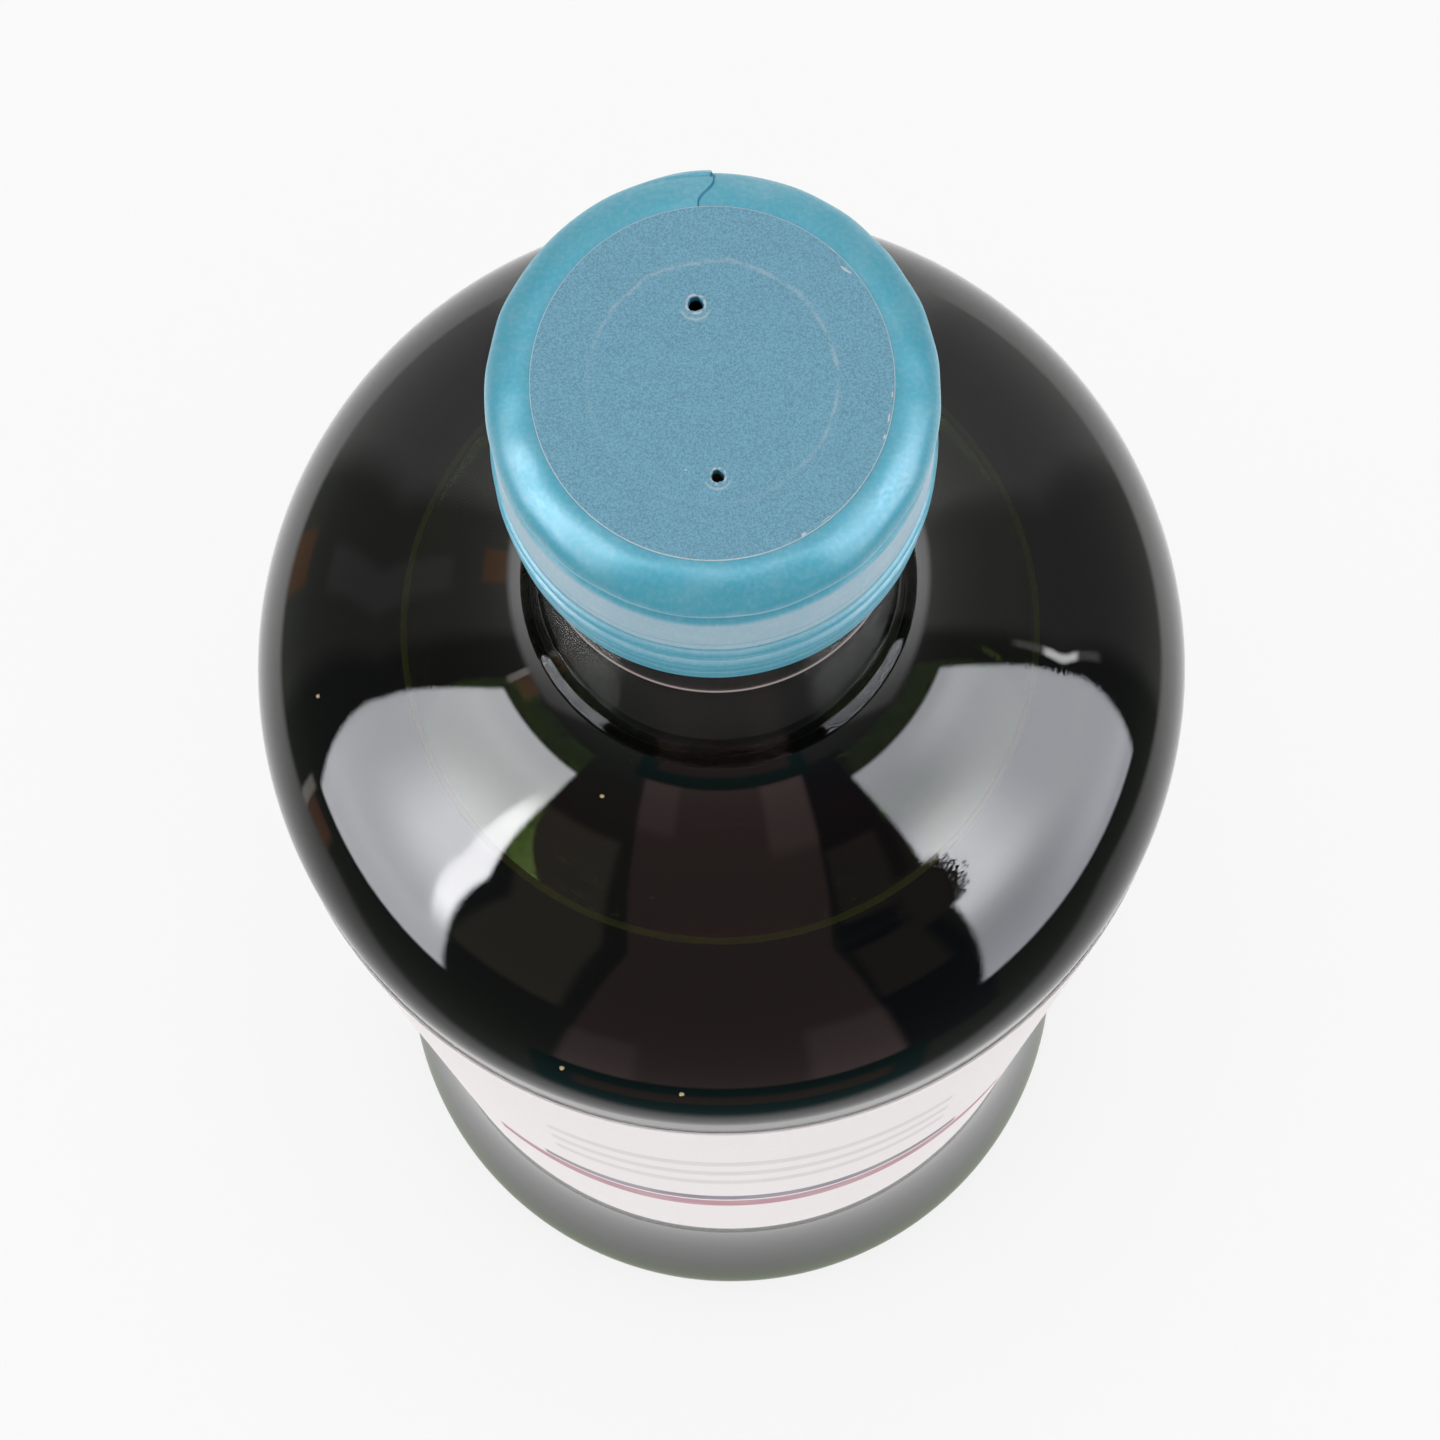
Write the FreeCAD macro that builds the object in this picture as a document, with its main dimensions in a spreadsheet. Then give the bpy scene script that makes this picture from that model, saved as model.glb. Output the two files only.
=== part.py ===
import FreeCAD, Part
import math
import os
import Sketcher

# A stoppered whisky bottle, standing on its base. The origin is the middle of the base, on the
# surface that the bottle stands on, with +Z up. The label faces -Y and the capsule's seam faces +Y.

# The driving dimensions, in millimetres: name, value, what it is.
SIZES = [
    ("shoulder_level", 184.0, "height of the widest ring"),
    ("shoulder_radius", 41.4, "widest radius of the glass"),
    ("shoulder_round", 18.0, "radius of the shoulder's convex arc"),
    ("waist_radius", 36.0, "radius of the narrow ring above the foot"),
    ("waist_round", 120.0, "radius of the hollow arc that makes the waist"),
    ("foot_radius", 39.3, "radius of the foot"),
    ("heel_round", 5.0, "rounding from the foot to the base"),
    ("punt_radius", 27.0, "radius of the hollow under the base"),
    ("punt_depth", 6.0, "depth of the hollow under the base"),
    ("flare_rise", 39.2, "from the widest ring up to the top of the flare"),
    ("neck_length", 57.6, "from the top of the flare up to the lip"),
    ("neck_radius", 14.6, "radius of the straight neck"),
    ("neck_proud", 0.4, "how far the neck stands out from the top of the flare"),
    ("neck_step", 0.6, "height of the small step from the flare to the neck"),
    ("seam_rise", 20.4, "from the top of the flare up to the mould seam round the neck"),
    ("seam_proud", 0.15, "how far the mould seam stands out"),
    ("seam_half", 0.3, "half the height of the mould seam"),
    ("finish_length", 22.2, "height of the thicker ring at the neck's top"),
    ("finish_proud", 1.0, "how far the thicker ring stands out from the neck"),
    ("lip_round", 1.6, "rounding of the lip"),
    ("glass_wall", 4.2, "thickness of the glass at the shoulder"),
    ("inner_foot_radius", 31.6, "radius of the hollow inside, just above the floor"),
    ("inner_heel_round", 6.0, "rounding between the inside wall and the floor"),
    ("floor_wall", 6.0, "thickness of the floor where it is lowest"),
    ("floor_crown", 12.0, "height of the middle of the floor"),
    ("bore_radius", 9.5, "radius of the hollow inside the neck"),
    ("bore_drop", 3.2, "from the top of the flare down to the inside's straight bore"),
    ("drink_rise", 13.4, "from the widest ring up to the whisky's surface"),
    ("fill_clearance", 0.05, "gap between the whisky and the glass"),
    ("capsule_wall", 0.6, "thickness of the capsule's skirt"),
    ("capsule_top_wall", 0.9, "thickness of the capsule's top"),
    ("capsule_fit", 0.1, "gap between the capsule's skirt and the glass"),
    ("skirt_overhang", 1.6, "how far the capsule reaches below the neck's thicker ring"),
    ("rim_extra", 0.6, "how much fuller the rim's rounding is than the lip inside it needs"),
    ("groove_drop", 3.6, "from the capsule's top down to its groove"),
    ("groove_height", 2.9, "height of the groove under the rim"),
    ("groove_depth", 0.3, "depth of the groove under the rim"),
    ("ridge_drop", 16.1, "from the capsule's top down to its upper fine ridge"),
    ("ridge_spacing", 3.2, "height from one fine ridge to the next"),
    ("ridge_half", 0.45, "half the height of a fine ridge"),
    ("ridge_proud", 0.2, "how far a fine ridge stands out"),
    ("lap_thickness", 0.12, "how far the capsule's lapped seam stands out"),
    ("lap_angle", 16.0, "width of the lapped seam, in degrees round the capsule"),
    ("disc_inset", 0.4, "from the rim's rounding in to the paper disc's edge"),
    ("disc_thickness", 0.3, "thickness of the paper disc"),
    ("emboss_margin", 4.1, "from the disc's edge in to its pressed ring"),
    ("emboss_half", 0.25, "half the width of the pressed ring"),
    ("emboss_depth", 0.08, "depth of the pressed ring"),
    ("back_vent_radius", 0.6, "radius of the vent hole nearer the seam"),
    ("back_vent_side", -1.2, "sideways place of that hole"),
    ("back_vent_reach", 5.7, "how far behind the middle that hole lies"),
    ("front_vent_radius", 0.5, "radius of the vent hole nearer the front"),
    ("front_vent_side", 0.4, "sideways place of that hole"),
    ("front_vent_reach", 6.9, "how far in front of the middle that hole lies"),
    ("label_rise", 3.1, "from the foot of the straight wall up to the label's lower edge"),
    ("label_drop", 8.0, "from the widest ring down to the label's upper edge"),
    ("label_thickness", 0.2, "thickness of the label"),
    ("label_gap", 16.0, "gap between the label's two ends, at the back"),
]


def taken_off(total):
    """The sizes of a sum, each taken off instead of added."""
    return total.replace(" + ", " - ")


# Radii and levels that follow from the sizes above, each written as a sum of them.
NECK_ROOT_RADIUS = "neck_radius - neck_proud"
FINISH_RADIUS = "neck_radius + finish_proud"
SKIRT_INSIDE = f"{FINISH_RADIUS} + capsule_fit"
CAPSULE_RADIUS = f"{SKIRT_INSIDE} + capsule_wall"
RIM_ROUND = "lip_round + capsule_fit + capsule_wall + rim_extra"
DISC_RADIUS = f"{CAPSULE_RADIUS} - {taken_off(RIM_ROUND)} - disc_inset"
EMBOSS_RADIUS = f"{DISC_RADIUS} - emboss_margin"
NECK = "shoulder_level + flare_rise"
LIP = f"{NECK} + neck_length"
FINISH = f"{LIP} - finish_length"
SKIRT = f"{FINISH} - skirt_overhang"
SEAM = f"{NECK} + seam_rise"
BORE = f"{NECK} - bore_drop"
DRINK = "shoulder_level + drink_rise"
TOP = f"{LIP} + capsule_top_wall"
LABEL_TOP = "shoulder_level - label_drop"

doc = FreeCAD.newDocument("whisky_bottle")
sheet = doc.addObject("Spreadsheet::Sheet", "Sizes")
for row, (alias, number, meaning) in enumerate(SIZES, start=1):
    sheet.set(f"A{row}", meaning)
    sheet.set(f"B{row}", str(number))
    sheet.setAlias(f"B{row}", alias)
doc.recompute()
size = {alias: number for alias, number, meaning in SIZES}

START, END, CENTRE = 1, 2, 3
ORIGIN = (-1, 1)
FLAT_AXIS = -1
UPRIGHT_AXIS = -2


def bound(expression):
    """Writes a formula of the driving dimensions the way the spreadsheet's users do."""
    words = expression.split()
    return " ".join(f"Sizes.{word}" if word in size else word for word in words)


def worked_out(expression):
    """The formula's value, for placing a sketch's lines before they are constrained."""
    total = 0.0
    sign = 1.0
    for word in expression.split():
        if word == "-":
            sign = -1.0
        elif word != "+":
            total += sign * (size[word] if word in size else float(word))
            sign = 1.0
    return total


neck_root_radius = worked_out(NECK_ROOT_RADIUS)
finish_radius = worked_out(FINISH_RADIUS)
skirt_inside = worked_out(SKIRT_INSIDE)
capsule_radius = worked_out(CAPSULE_RADIUS)
rim_round = worked_out(RIM_ROUND)
disc_radius = worked_out(DISC_RADIUS)
emboss_radius = worked_out(EMBOSS_RADIUS)
neck_level = worked_out(NECK)
lip_level = worked_out(LIP)
finish_level = worked_out(FINISH)
skirt_level = worked_out(SKIRT)
bore_level = worked_out(BORE)
drink_level = worked_out(DRINK)
top_level = worked_out(TOP)
label_top = worked_out(LABEL_TOP)


class Outline:
    """A closed outline on one of a body's own planes, fully bound to the driving dimensions."""

    def __init__(self, body, name, role="XZ_Plane"):
        self.sketch = body.newObject("Sketcher::SketchObject", name)
        planes = [feature for feature in body.Origin.OriginFeatures if feature.Role == role]
        self.sketch.AttachmentSupport = [(planes[0], "")]
        self.sketch.MapMode = "FlatFace"
        self.edge = {}

    def line(self, name, start, end, guide=False):
        first = FreeCAD.Vector(start[0], start[1], 0)
        last = FreeCAD.Vector(end[0], end[1], 0)
        self.edge[name] = self.sketch.addGeometry(Part.LineSegment(first, last), guide)

    def circle(self, name, centre, radius):
        middle = FreeCAD.Vector(centre[0], centre[1], 0)
        round_edge = Part.Circle(middle, FreeCAD.Vector(0, 0, 1), radius)
        self.edge[name] = self.sketch.addGeometry(round_edge, False)

    def arc(self, name, centre, radius, first_angle, last_angle, guide=False):
        middle = FreeCAD.Vector(centre[0], centre[1], 0)
        whole = Part.Circle(middle, FreeCAD.Vector(0, 0, 1), radius)
        part_turn = Part.ArcOfCircle(whole, first_angle, last_angle)
        self.edge[name] = self.sketch.addGeometry(part_turn, guide)

    def rule(self, kind, *places):
        self.sketch.addConstraint(Sketcher.Constraint(kind, *places))

    def join(self, first, first_end, second, second_end):
        self.rule("Coincident", self.edge[first], first_end, self.edge[second], second_end)

    def smooth(self, first, first_end, second, second_end):
        self.rule("Tangent", self.edge[first], first_end, self.edge[second], second_end)

    def at_origin(self, name, end):
        self.rule("Coincident", self.edge[name], end, *ORIGIN)

    def on_axis(self, name, end):
        self.rule("PointOnObject", self.edge[name], end, UPRIGHT_AXIS)

    def flat(self, *names):
        for name in names:
            self.rule("Horizontal", self.edge[name])

    def upright(self, *names):
        for name in names:
            self.rule("Vertical", self.edge[name])

    def bind(self, kind, places, expression):
        value = worked_out(expression)
        index = self.sketch.addConstraint(Sketcher.Constraint(kind, *places, value))
        self.sketch.setExpression(f"Constraints[{index}]", bound(expression))

    def across(self, name, end, expression):
        self.bind("DistanceX", (*ORIGIN, self.edge[name], end), expression)

    def up(self, name, end, expression):
        self.bind("DistanceY", (*ORIGIN, self.edge[name], end), expression)

    def radius(self, name, expression):
        self.bind("Radius", (self.edge[name],), expression)

    def done(self):
        doc.recompute()
        if self.sketch.solve() != 0 or not self.sketch.FullyConstrained:
            raise RuntimeError(f"{self.sketch.Name} isn't fully constrained")
        return self.sketch


def new_body(name):
    body = doc.addObject("PartDesign::Body", name)
    body.Label = name
    return body


def turned(body, kind, name, sketch):
    """A full turn of an outline about the bottle's axis, added or cut."""
    feature = body.newObject(f"PartDesign::{kind}", name)
    feature.Profile = sketch
    feature.ReferenceAxis = (sketch, ["V_Axis"])
    feature.Angle = 360
    doc.recompute()
    return feature


def point_on(centre, radius, angle):
    return (centre[0] + radius * math.cos(angle), centre[1] + radius * math.sin(angle))


def flare_round(shoulder_centre, shoulder_arc, neck, level):
    """Radius of the hollow arc that leaves the shoulder smoothly and ends upright at the neck."""
    rise = level - shoulder_centre[1]
    run = shoulder_centre[0] + shoulder_arc - neck
    return (run ** 2 + rise ** 2) / (2 * run) - shoulder_arc


def body_line_angle(shoulder_centre, shoulder_arc, lower_centre, lower_arc):
    """Lean of the straight wall that touches the shoulder's arc and a lower arc."""
    run = lower_centre[0] - shoulder_centre[0]
    drop = shoulder_centre[1] - lower_centre[1]
    return math.atan2(drop, run) - math.acos((shoulder_arc + lower_arc) / math.hypot(run, drop))


# ---- the glass ----

shoulder_centre = (size["shoulder_radius"] - size["shoulder_round"], size["shoulder_level"])
heel_centre = (size["foot_radius"] - size["heel_round"], size["heel_round"])
waist_across = size["waist_radius"] + size["waist_round"]
waist_reach = size["waist_round"] + size["heel_round"]
waist_rise = math.sqrt(waist_reach ** 2 - (waist_across - heel_centre[0]) ** 2)
waist_centre = (waist_across, heel_centre[1] + waist_rise)
waist_dip = math.atan2(waist_rise, waist_across - heel_centre[0])
wall_lean = body_line_angle(shoulder_centre, size["shoulder_round"], waist_centre,
                            size["waist_round"])


def lower_wall(outline, guide, shoulder_end):
    """The base, heel, waist, straight wall and shoulder: the glass's outline up to its flare."""
    outline.line("base", (0, 0), (heel_centre[0], 0), guide)
    outline.arc("heel", heel_centre, size["heel_round"], -math.pi / 2, waist_dip, guide)
    outline.arc("waist", waist_centre, size["waist_round"], math.pi - wall_lean,
                math.pi + waist_dip, guide)
    outline.line("wall", point_on(waist_centre, size["waist_round"], math.pi - wall_lean),
                 point_on(shoulder_centre, size["shoulder_round"], -wall_lean), guide)
    outline.arc("shoulder", shoulder_centre, size["shoulder_round"], -wall_lean,
                shoulder_end, guide)
    outline.at_origin("base", START)
    outline.flat("base")
    outline.smooth("base", END, "heel", START)
    outline.smooth("heel", END, "waist", END)
    outline.smooth("waist", START, "wall", START)
    outline.smooth("wall", END, "shoulder", START)
    outline.radius("heel", "heel_round")
    outline.across("heel", CENTRE, "foot_radius - heel_round")
    outline.radius("waist", "waist_round")
    outline.across("waist", CENTRE, "waist_radius + waist_round")
    outline.radius("shoulder", "shoulder_round")
    outline.across("shoulder", CENTRE, "shoulder_radius - shoulder_round")
    outline.up("shoulder", CENTRE, "shoulder_level")


flare_arc = flare_round(shoulder_centre, size["shoulder_round"], neck_root_radius,
                        neck_level)
flare_centre = (neck_root_radius + flare_arc, neck_level)
flare_meets = math.atan2(flare_centre[1] - shoulder_centre[1],
                         flare_centre[0] - shoulder_centre[0])

glass = new_body("glass_bottle")
outer = Outline(glass, "OuterOutline")
neck_foot = (size["neck_radius"], neck_level + size["neck_step"])
neck_head = (size["neck_radius"], finish_level)
finish_foot = (finish_radius, finish_level)
lip_centre = (finish_radius - size["lip_round"], lip_level - size["lip_round"])
lower_wall(outer, False, flare_meets)
outer.arc("flare", flare_centre, flare_arc, math.pi, math.pi + flare_meets)
outer.line("step", (neck_root_radius, neck_level), neck_foot)
outer.line("neck", neck_foot, neck_head)
outer.line("finish_underside", neck_head, finish_foot)
outer.line("finish_side", finish_foot, (finish_radius, lip_centre[1]))
outer.arc("lip", lip_centre, size["lip_round"], 0, math.pi / 2)
outer.line("top", (lip_centre[0], lip_level), (0, lip_level))
outer.line("axis", (0, lip_level), (0, 0))
outer.flat("finish_underside", "top")
outer.upright("neck", "finish_side", "axis")
outer.smooth("shoulder", END, "flare", END)
outer.smooth("finish_side", END, "lip", START)
outer.smooth("lip", END, "top", START)
outer.join("flare", START, "step", START)
outer.join("step", END, "neck", START)
outer.join("neck", END, "finish_underside", START)
outer.join("finish_underside", END, "finish_side", START)
outer.join("top", END, "axis", START)
outer.join("axis", END, "base", START)
outer.across("flare", START, NECK_ROOT_RADIUS)
outer.up("flare", START, NECK)
outer.rule("Horizontal", outer.edge["flare"], START, outer.edge["flare"], CENTRE)
outer.across("step", END, "neck_radius")
outer.up("step", END, f"{NECK} + neck_step")
outer.up("neck", END, FINISH)
outer.across("finish_side", START, FINISH_RADIUS)
outer.radius("lip", "lip_round")
outer.up("top", END, LIP)
turned(glass, "Revolution", "OuterForm", outer.done())


def hollow_outline(body, name, gap):
    """The hollow inside the glass, drawn smaller all round by a named gap."""
    inset = size[gap] if gap else 0.0
    less = f" - {gap}" if gap else ""
    more = f" + {gap}" if gap else ""
    arc = size["shoulder_round"] - size["glass_wall"] - inset
    bore = size["bore_radius"] - inset
    crown = size["floor_crown"] + inset
    heel_arc = size["inner_heel_round"] - inset
    heel = (size["inner_foot_radius"] - size["inner_heel_round"],
            size["floor_wall"] + size["inner_heel_round"])
    neck_arc = flare_round(shoulder_centre, arc, bore, bore_level)
    neck_centre = (bore + neck_arc, bore_level)
    arc_end = math.atan2(neck_centre[1] - shoulder_centre[1], neck_centre[0] - shoulder_centre[0])
    drop = crown - heel[1]
    floor_arc = (heel[0] ** 2 + drop ** 2 - heel_arc ** 2) / (2 * (heel_arc + drop))
    floor_centre = (0, crown - floor_arc)
    floor_end = math.atan2(heel[1] - floor_centre[1], heel[0])
    run = shoulder_centre[0] - heel[0]
    rise = shoulder_centre[1] - heel[1]
    lean = math.atan2(run, rise) + math.asin((arc - heel_arc) / math.hypot(run, rise))
    hollow = Outline(body, name)
    hollow.arc("floor", floor_centre, floor_arc, floor_end, math.pi / 2)
    hollow.arc("heel", heel, heel_arc, math.pi + floor_end, 2 * math.pi - lean)
    hollow.line("wall", point_on(heel, heel_arc, -lean), point_on(shoulder_centre, arc, -lean))
    hollow.arc("shoulder", shoulder_centre, arc, -lean, arc_end)
    hollow.arc("flare", neck_centre, neck_arc, math.pi, math.pi + arc_end)
    hollow.line("bore", (bore, bore_level), (bore, lip_level))
    hollow.line("top", (bore, lip_level), (0, lip_level))
    hollow.line("axis", (0, lip_level), (0, crown))
    hollow.smooth("floor", START, "heel", START)
    hollow.smooth("heel", END, "wall", START)
    hollow.smooth("wall", END, "shoulder", START)
    hollow.smooth("shoulder", END, "flare", END)
    hollow.join("flare", START, "bore", START)
    hollow.join("bore", END, "top", START)
    hollow.join("top", END, "axis", START)
    hollow.join("axis", END, "floor", END)
    hollow.on_axis("floor", CENTRE)
    hollow.on_axis("floor", END)
    hollow.on_axis("top", END)
    hollow.upright("bore")
    hollow.flat("top")
    hollow.up("floor", END, "floor_crown" + more)
    hollow.radius("heel", "inner_heel_round" + less)
    hollow.across("heel", CENTRE, "inner_foot_radius - inner_heel_round")
    hollow.up("heel", CENTRE, "floor_wall + inner_heel_round")
    hollow.radius("shoulder", "shoulder_round - glass_wall" + less)
    hollow.across("shoulder", CENTRE, "shoulder_radius - shoulder_round")
    hollow.up("shoulder", CENTRE, "shoulder_level")
    hollow.rule("Horizontal", hollow.edge["flare"], START, hollow.edge["flare"], CENTRE)
    hollow.across("flare", START, "bore_radius" + less)
    hollow.up("flare", START, BORE)
    hollow.up("top", END, LIP)
    return hollow.done()


turned(glass, "Groove", "Hollow", hollow_outline(glass, "HollowOutline", ""))

punt = Outline(glass, "PuntOutline")
punt_arc = (size["punt_radius"] ** 2 + size["punt_depth"] ** 2) / (2 * size["punt_depth"])
punt_centre = (0, size["punt_depth"] - punt_arc)
punt.line("rest", (0, 0), (size["punt_radius"], 0))
punt.arc("dome", punt_centre, punt_arc, math.atan2(-punt_centre[1], size["punt_radius"]),
         math.pi / 2)
punt.line("axis", (0, size["punt_depth"]), (0, 0))
punt.at_origin("rest", START)
punt.flat("rest")
punt.join("rest", END, "dome", START)
punt.join("dome", END, "axis", START)
punt.join("axis", END, "rest", START)
punt.on_axis("dome", CENTRE)
punt.on_axis("dome", END)
punt.across("rest", END, "punt_radius")
punt.up("dome", END, "punt_depth")
turned(glass, "Groove", "Punt", punt.done())


def bead(body, name, side, level, half, proud):
    """A fine three-cornered ring that stands out of an upright wall."""
    middle = worked_out(level)
    low = (worked_out(side), middle - size[half])
    crest = (worked_out(side) + size[proud], middle)
    high = (worked_out(side), middle + size[half])
    ring = Outline(body, name)
    ring.line("root", high, low)
    ring.line("under", low, crest)
    ring.line("over", crest, high)
    ring.join("root", END, "under", START)
    ring.join("under", END, "over", START)
    ring.join("over", END, "root", START)
    ring.upright("root")
    ring.across("root", END, side)
    ring.up("root", END, f"{level} - {half}")
    ring.up("root", START, f"{level} + {half}")
    ring.across("under", END, f"{side} + {proud}")
    ring.up("under", END, level)
    return ring.done()


turned(glass, "Revolution", "MouldSeam",
       bead(glass, "MouldSeamOutline", "neck_radius", SEAM, "seam_half", "seam_proud"))

# ---- the whisky ----

whisky = new_body("whisky")
turned(whisky, "Revolution", "Fill", hollow_outline(whisky, "FillOutline", "fill_clearance"))
air = Outline(whisky, "AirOutline")
air.line("surface", (0, drink_level), (size["shoulder_radius"], drink_level))
air.line("side", (size["shoulder_radius"], drink_level),
         (size["shoulder_radius"], lip_level))
air.line("top", (size["shoulder_radius"], lip_level), (0, lip_level))
air.line("axis", (0, lip_level), (0, drink_level))
air.join("surface", END, "side", START)
air.join("side", END, "top", START)
air.join("top", END, "axis", START)
air.join("axis", END, "surface", START)
air.flat("surface", "top")
air.upright("side", "axis")
air.on_axis("surface", START)
air.up("surface", START, DRINK)
air.across("surface", END, "shoulder_radius")
air.up("top", START, LIP)
turned(whisky, "Groove", "AirSpace", air.done())

# ---- the capsule over the neck ----

capsule = new_body("capsule")
rim_centre = (capsule_radius - rim_round, top_level - rim_round)
inner_round = size["lip_round"] + size["capsule_fit"]
inner_centre = (skirt_inside - inner_round, lip_level - inner_round)
cover = Outline(capsule, "CoverOutline")
cover.line("top", (0, top_level), (rim_centre[0], top_level))
cover.arc("rim", rim_centre, rim_round, 0, math.pi / 2)
cover.line("side", (capsule_radius, rim_centre[1]),
           (capsule_radius, skirt_level))
cover.line("edge", (capsule_radius, skirt_level),
           (skirt_inside, skirt_level))
cover.line("inside", (skirt_inside, skirt_level), (skirt_inside, inner_centre[1]))
cover.arc("inner_round", inner_centre, inner_round, 0, math.pi / 2)
cover.line("underside", (inner_centre[0], lip_level), (0, lip_level))
cover.line("axis", (0, lip_level), (0, top_level))
cover.smooth("top", END, "rim", END)
cover.smooth("rim", START, "side", START)
cover.join("side", END, "edge", START)
cover.join("edge", END, "inside", START)
cover.smooth("inside", END, "inner_round", START)
cover.smooth("inner_round", END, "underside", START)
cover.join("underside", END, "axis", START)
cover.join("axis", END, "top", START)
cover.flat("top", "edge", "underside")
cover.upright("side", "inside")
cover.on_axis("top", START)
cover.on_axis("underside", END)
cover.up("top", START, TOP)
cover.radius("rim", RIM_ROUND)
cover.across("side", END, CAPSULE_RADIUS)
cover.up("side", END, SKIRT)
cover.across("inside", START, SKIRT_INSIDE)
cover.radius("inner_round", "lip_round + capsule_fit")
cover.up("underside", END, LIP)
turned(capsule, "Revolution", "Cover", cover.done())

lap = Outline(capsule, "LapOutline", "YZ_Plane")
lap_out = capsule_radius + size["lap_thickness"]
lap_in = capsule_radius - size["groove_depth"] - size["lap_thickness"]
lap_arc = rim_round + size["lap_thickness"]
lap_under = rim_round - size["groove_depth"] - size["lap_thickness"]
lap_head = top_level + size["lap_thickness"]
lap.line("outside", (lap_out, skirt_level), (lap_out, rim_centre[1]))
lap.arc("over_rim", rim_centre, lap_arc, 0, math.pi / 2)
lap.line("end", (rim_centre[0], lap_head), (rim_centre[0], rim_centre[1] + lap_under))
lap.arc("under_rim", rim_centre, lap_under, 0, math.pi / 2)
lap.line("inside", (lap_in, rim_centre[1]), (lap_in, skirt_level))
lap.line("edge", (lap_in, skirt_level), (lap_out, skirt_level))
lap.smooth("outside", END, "over_rim", START)
lap.join("over_rim", END, "end", START)
lap.join("end", END, "under_rim", END)
lap.smooth("under_rim", START, "inside", START)
lap.join("inside", END, "edge", START)
lap.join("edge", END, "outside", START)
lap.join("over_rim", CENTRE, "under_rim", CENTRE)
lap.upright("outside", "end", "inside")
lap.flat("edge")
lap.across("over_rim", CENTRE, f"{CAPSULE_RADIUS} - {taken_off(RIM_ROUND)}")
lap.up("over_rim", CENTRE, f"{TOP} - {taken_off(RIM_ROUND)}")
lap.rule("Vertical", lap.edge["over_rim"], END, lap.edge["over_rim"], CENTRE)
lap.radius("over_rim", f"{RIM_ROUND} + lap_thickness")
lap.radius("under_rim", f"{RIM_ROUND} - groove_depth - lap_thickness")
lap.up("outside", START, SKIRT)
lap_sketch = lap.done()
lap_form = capsule.newObject("PartDesign::Revolution", "LappedSeam")
lap_form.Profile = lap_sketch
lap_form.ReferenceAxis = (lap_sketch, ["V_Axis"])
lap_form.Midplane = True
lap_form.setExpression("Angle", bound("lap_angle"))
doc.recompute()

groove = Outline(capsule, "GrooveOutline")
groove_top = top_level - size["groove_drop"]
groove_foot = groove_top - size["groove_height"]
groove_root = capsule_radius - size["groove_depth"]
groove_mouth = capsule_radius + size["groove_depth"]
groove.line("root", (groove_root, groove_top), (groove_root, groove_foot))
groove.line("below", (groove_root, groove_foot), (groove_mouth, groove_foot))
groove.line("mouth", (groove_mouth, groove_foot), (groove_mouth, groove_top))
groove.line("above", (groove_mouth, groove_top), (groove_root, groove_top))
groove.join("root", END, "below", START)
groove.join("below", END, "mouth", START)
groove.join("mouth", END, "above", START)
groove.join("above", END, "root", START)
groove.flat("below", "above")
groove.upright("root", "mouth")
groove.across("root", START, f"{CAPSULE_RADIUS} - groove_depth")
groove.across("mouth", START, f"{CAPSULE_RADIUS} + groove_depth")
groove.up("root", START, f"{TOP} - groove_drop")
groove.up("root", END, f"{TOP} - groove_drop - groove_height")
turned(capsule, "Groove", "RimGroove", groove.done())

ridge_sketch = bead(capsule, "RidgeOutline", CAPSULE_RADIUS, f"{TOP} - ridge_drop",
                    "ridge_half", "ridge_proud")
ridge = turned(capsule, "Revolution", "FineRidge", ridge_sketch)
ridges = capsule.newObject("PartDesign::LinearPattern", "FineRidges")
ridges.Originals = [ridge]
ridges.Direction = (ridge_sketch, ["V_Axis"])
ridges.Reversed = True
ridges.setExpression("Length", bound("ridge_spacing"))
ridges.Occurrences = 2
capsule.Tip = ridges
doc.recompute()

VENTS = ["back_vent", "front_vent"]
VENT_FORWARD = {"back_vent": 1, "front_vent": -1}


def vent_circles(outline):
    """The two vent holes, which line up in the paper disc and the capsule."""
    for vent in VENTS:
        reach = VENT_FORWARD[vent] * size[f"{vent}_reach"]
        outline.circle(vent, (size[f"{vent}_side"], reach), size[f"{vent}_radius"])
        outline.radius(vent, f"{vent}_radius")
        outline.across(vent, CENTRE, f"{vent}_side")
        if VENT_FORWARD[vent] > 0:
            outline.up(vent, CENTRE, f"{vent}_reach")
        else:
            outline.bind("DistanceY", (outline.edge[vent], CENTRE, *ORIGIN), f"{vent}_reach")


vents = Outline(capsule, "VentOutline", "XY_Plane")
vent_circles(vents)
vents.sketch.setExpression("AttachmentOffset.Base.z", bound(TOP))
vent_cut = capsule.newObject("PartDesign::Pocket", "Vents")
vent_cut.Profile = vents.done()
vent_cut.setExpression("Length", bound("capsule_top_wall + capsule_top_wall"))
doc.recompute()

# ---- the paper disc on the capsule's top ----

disc = new_body("top_disc")
face = Outline(disc, "DiscOutline", "XY_Plane")
face.circle("rim", (0, 0), disc_radius)
face.at_origin("rim", CENTRE)
face.radius("rim", DISC_RADIUS)
vent_circles(face)
face.sketch.setExpression("AttachmentOffset.Base.z", bound(TOP))
sheet_form = disc.newObject("PartDesign::Pad", "Paper")
sheet_form.Profile = face.done()
sheet_form.setExpression("Length", bound("disc_thickness"))
doc.recompute()

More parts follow.
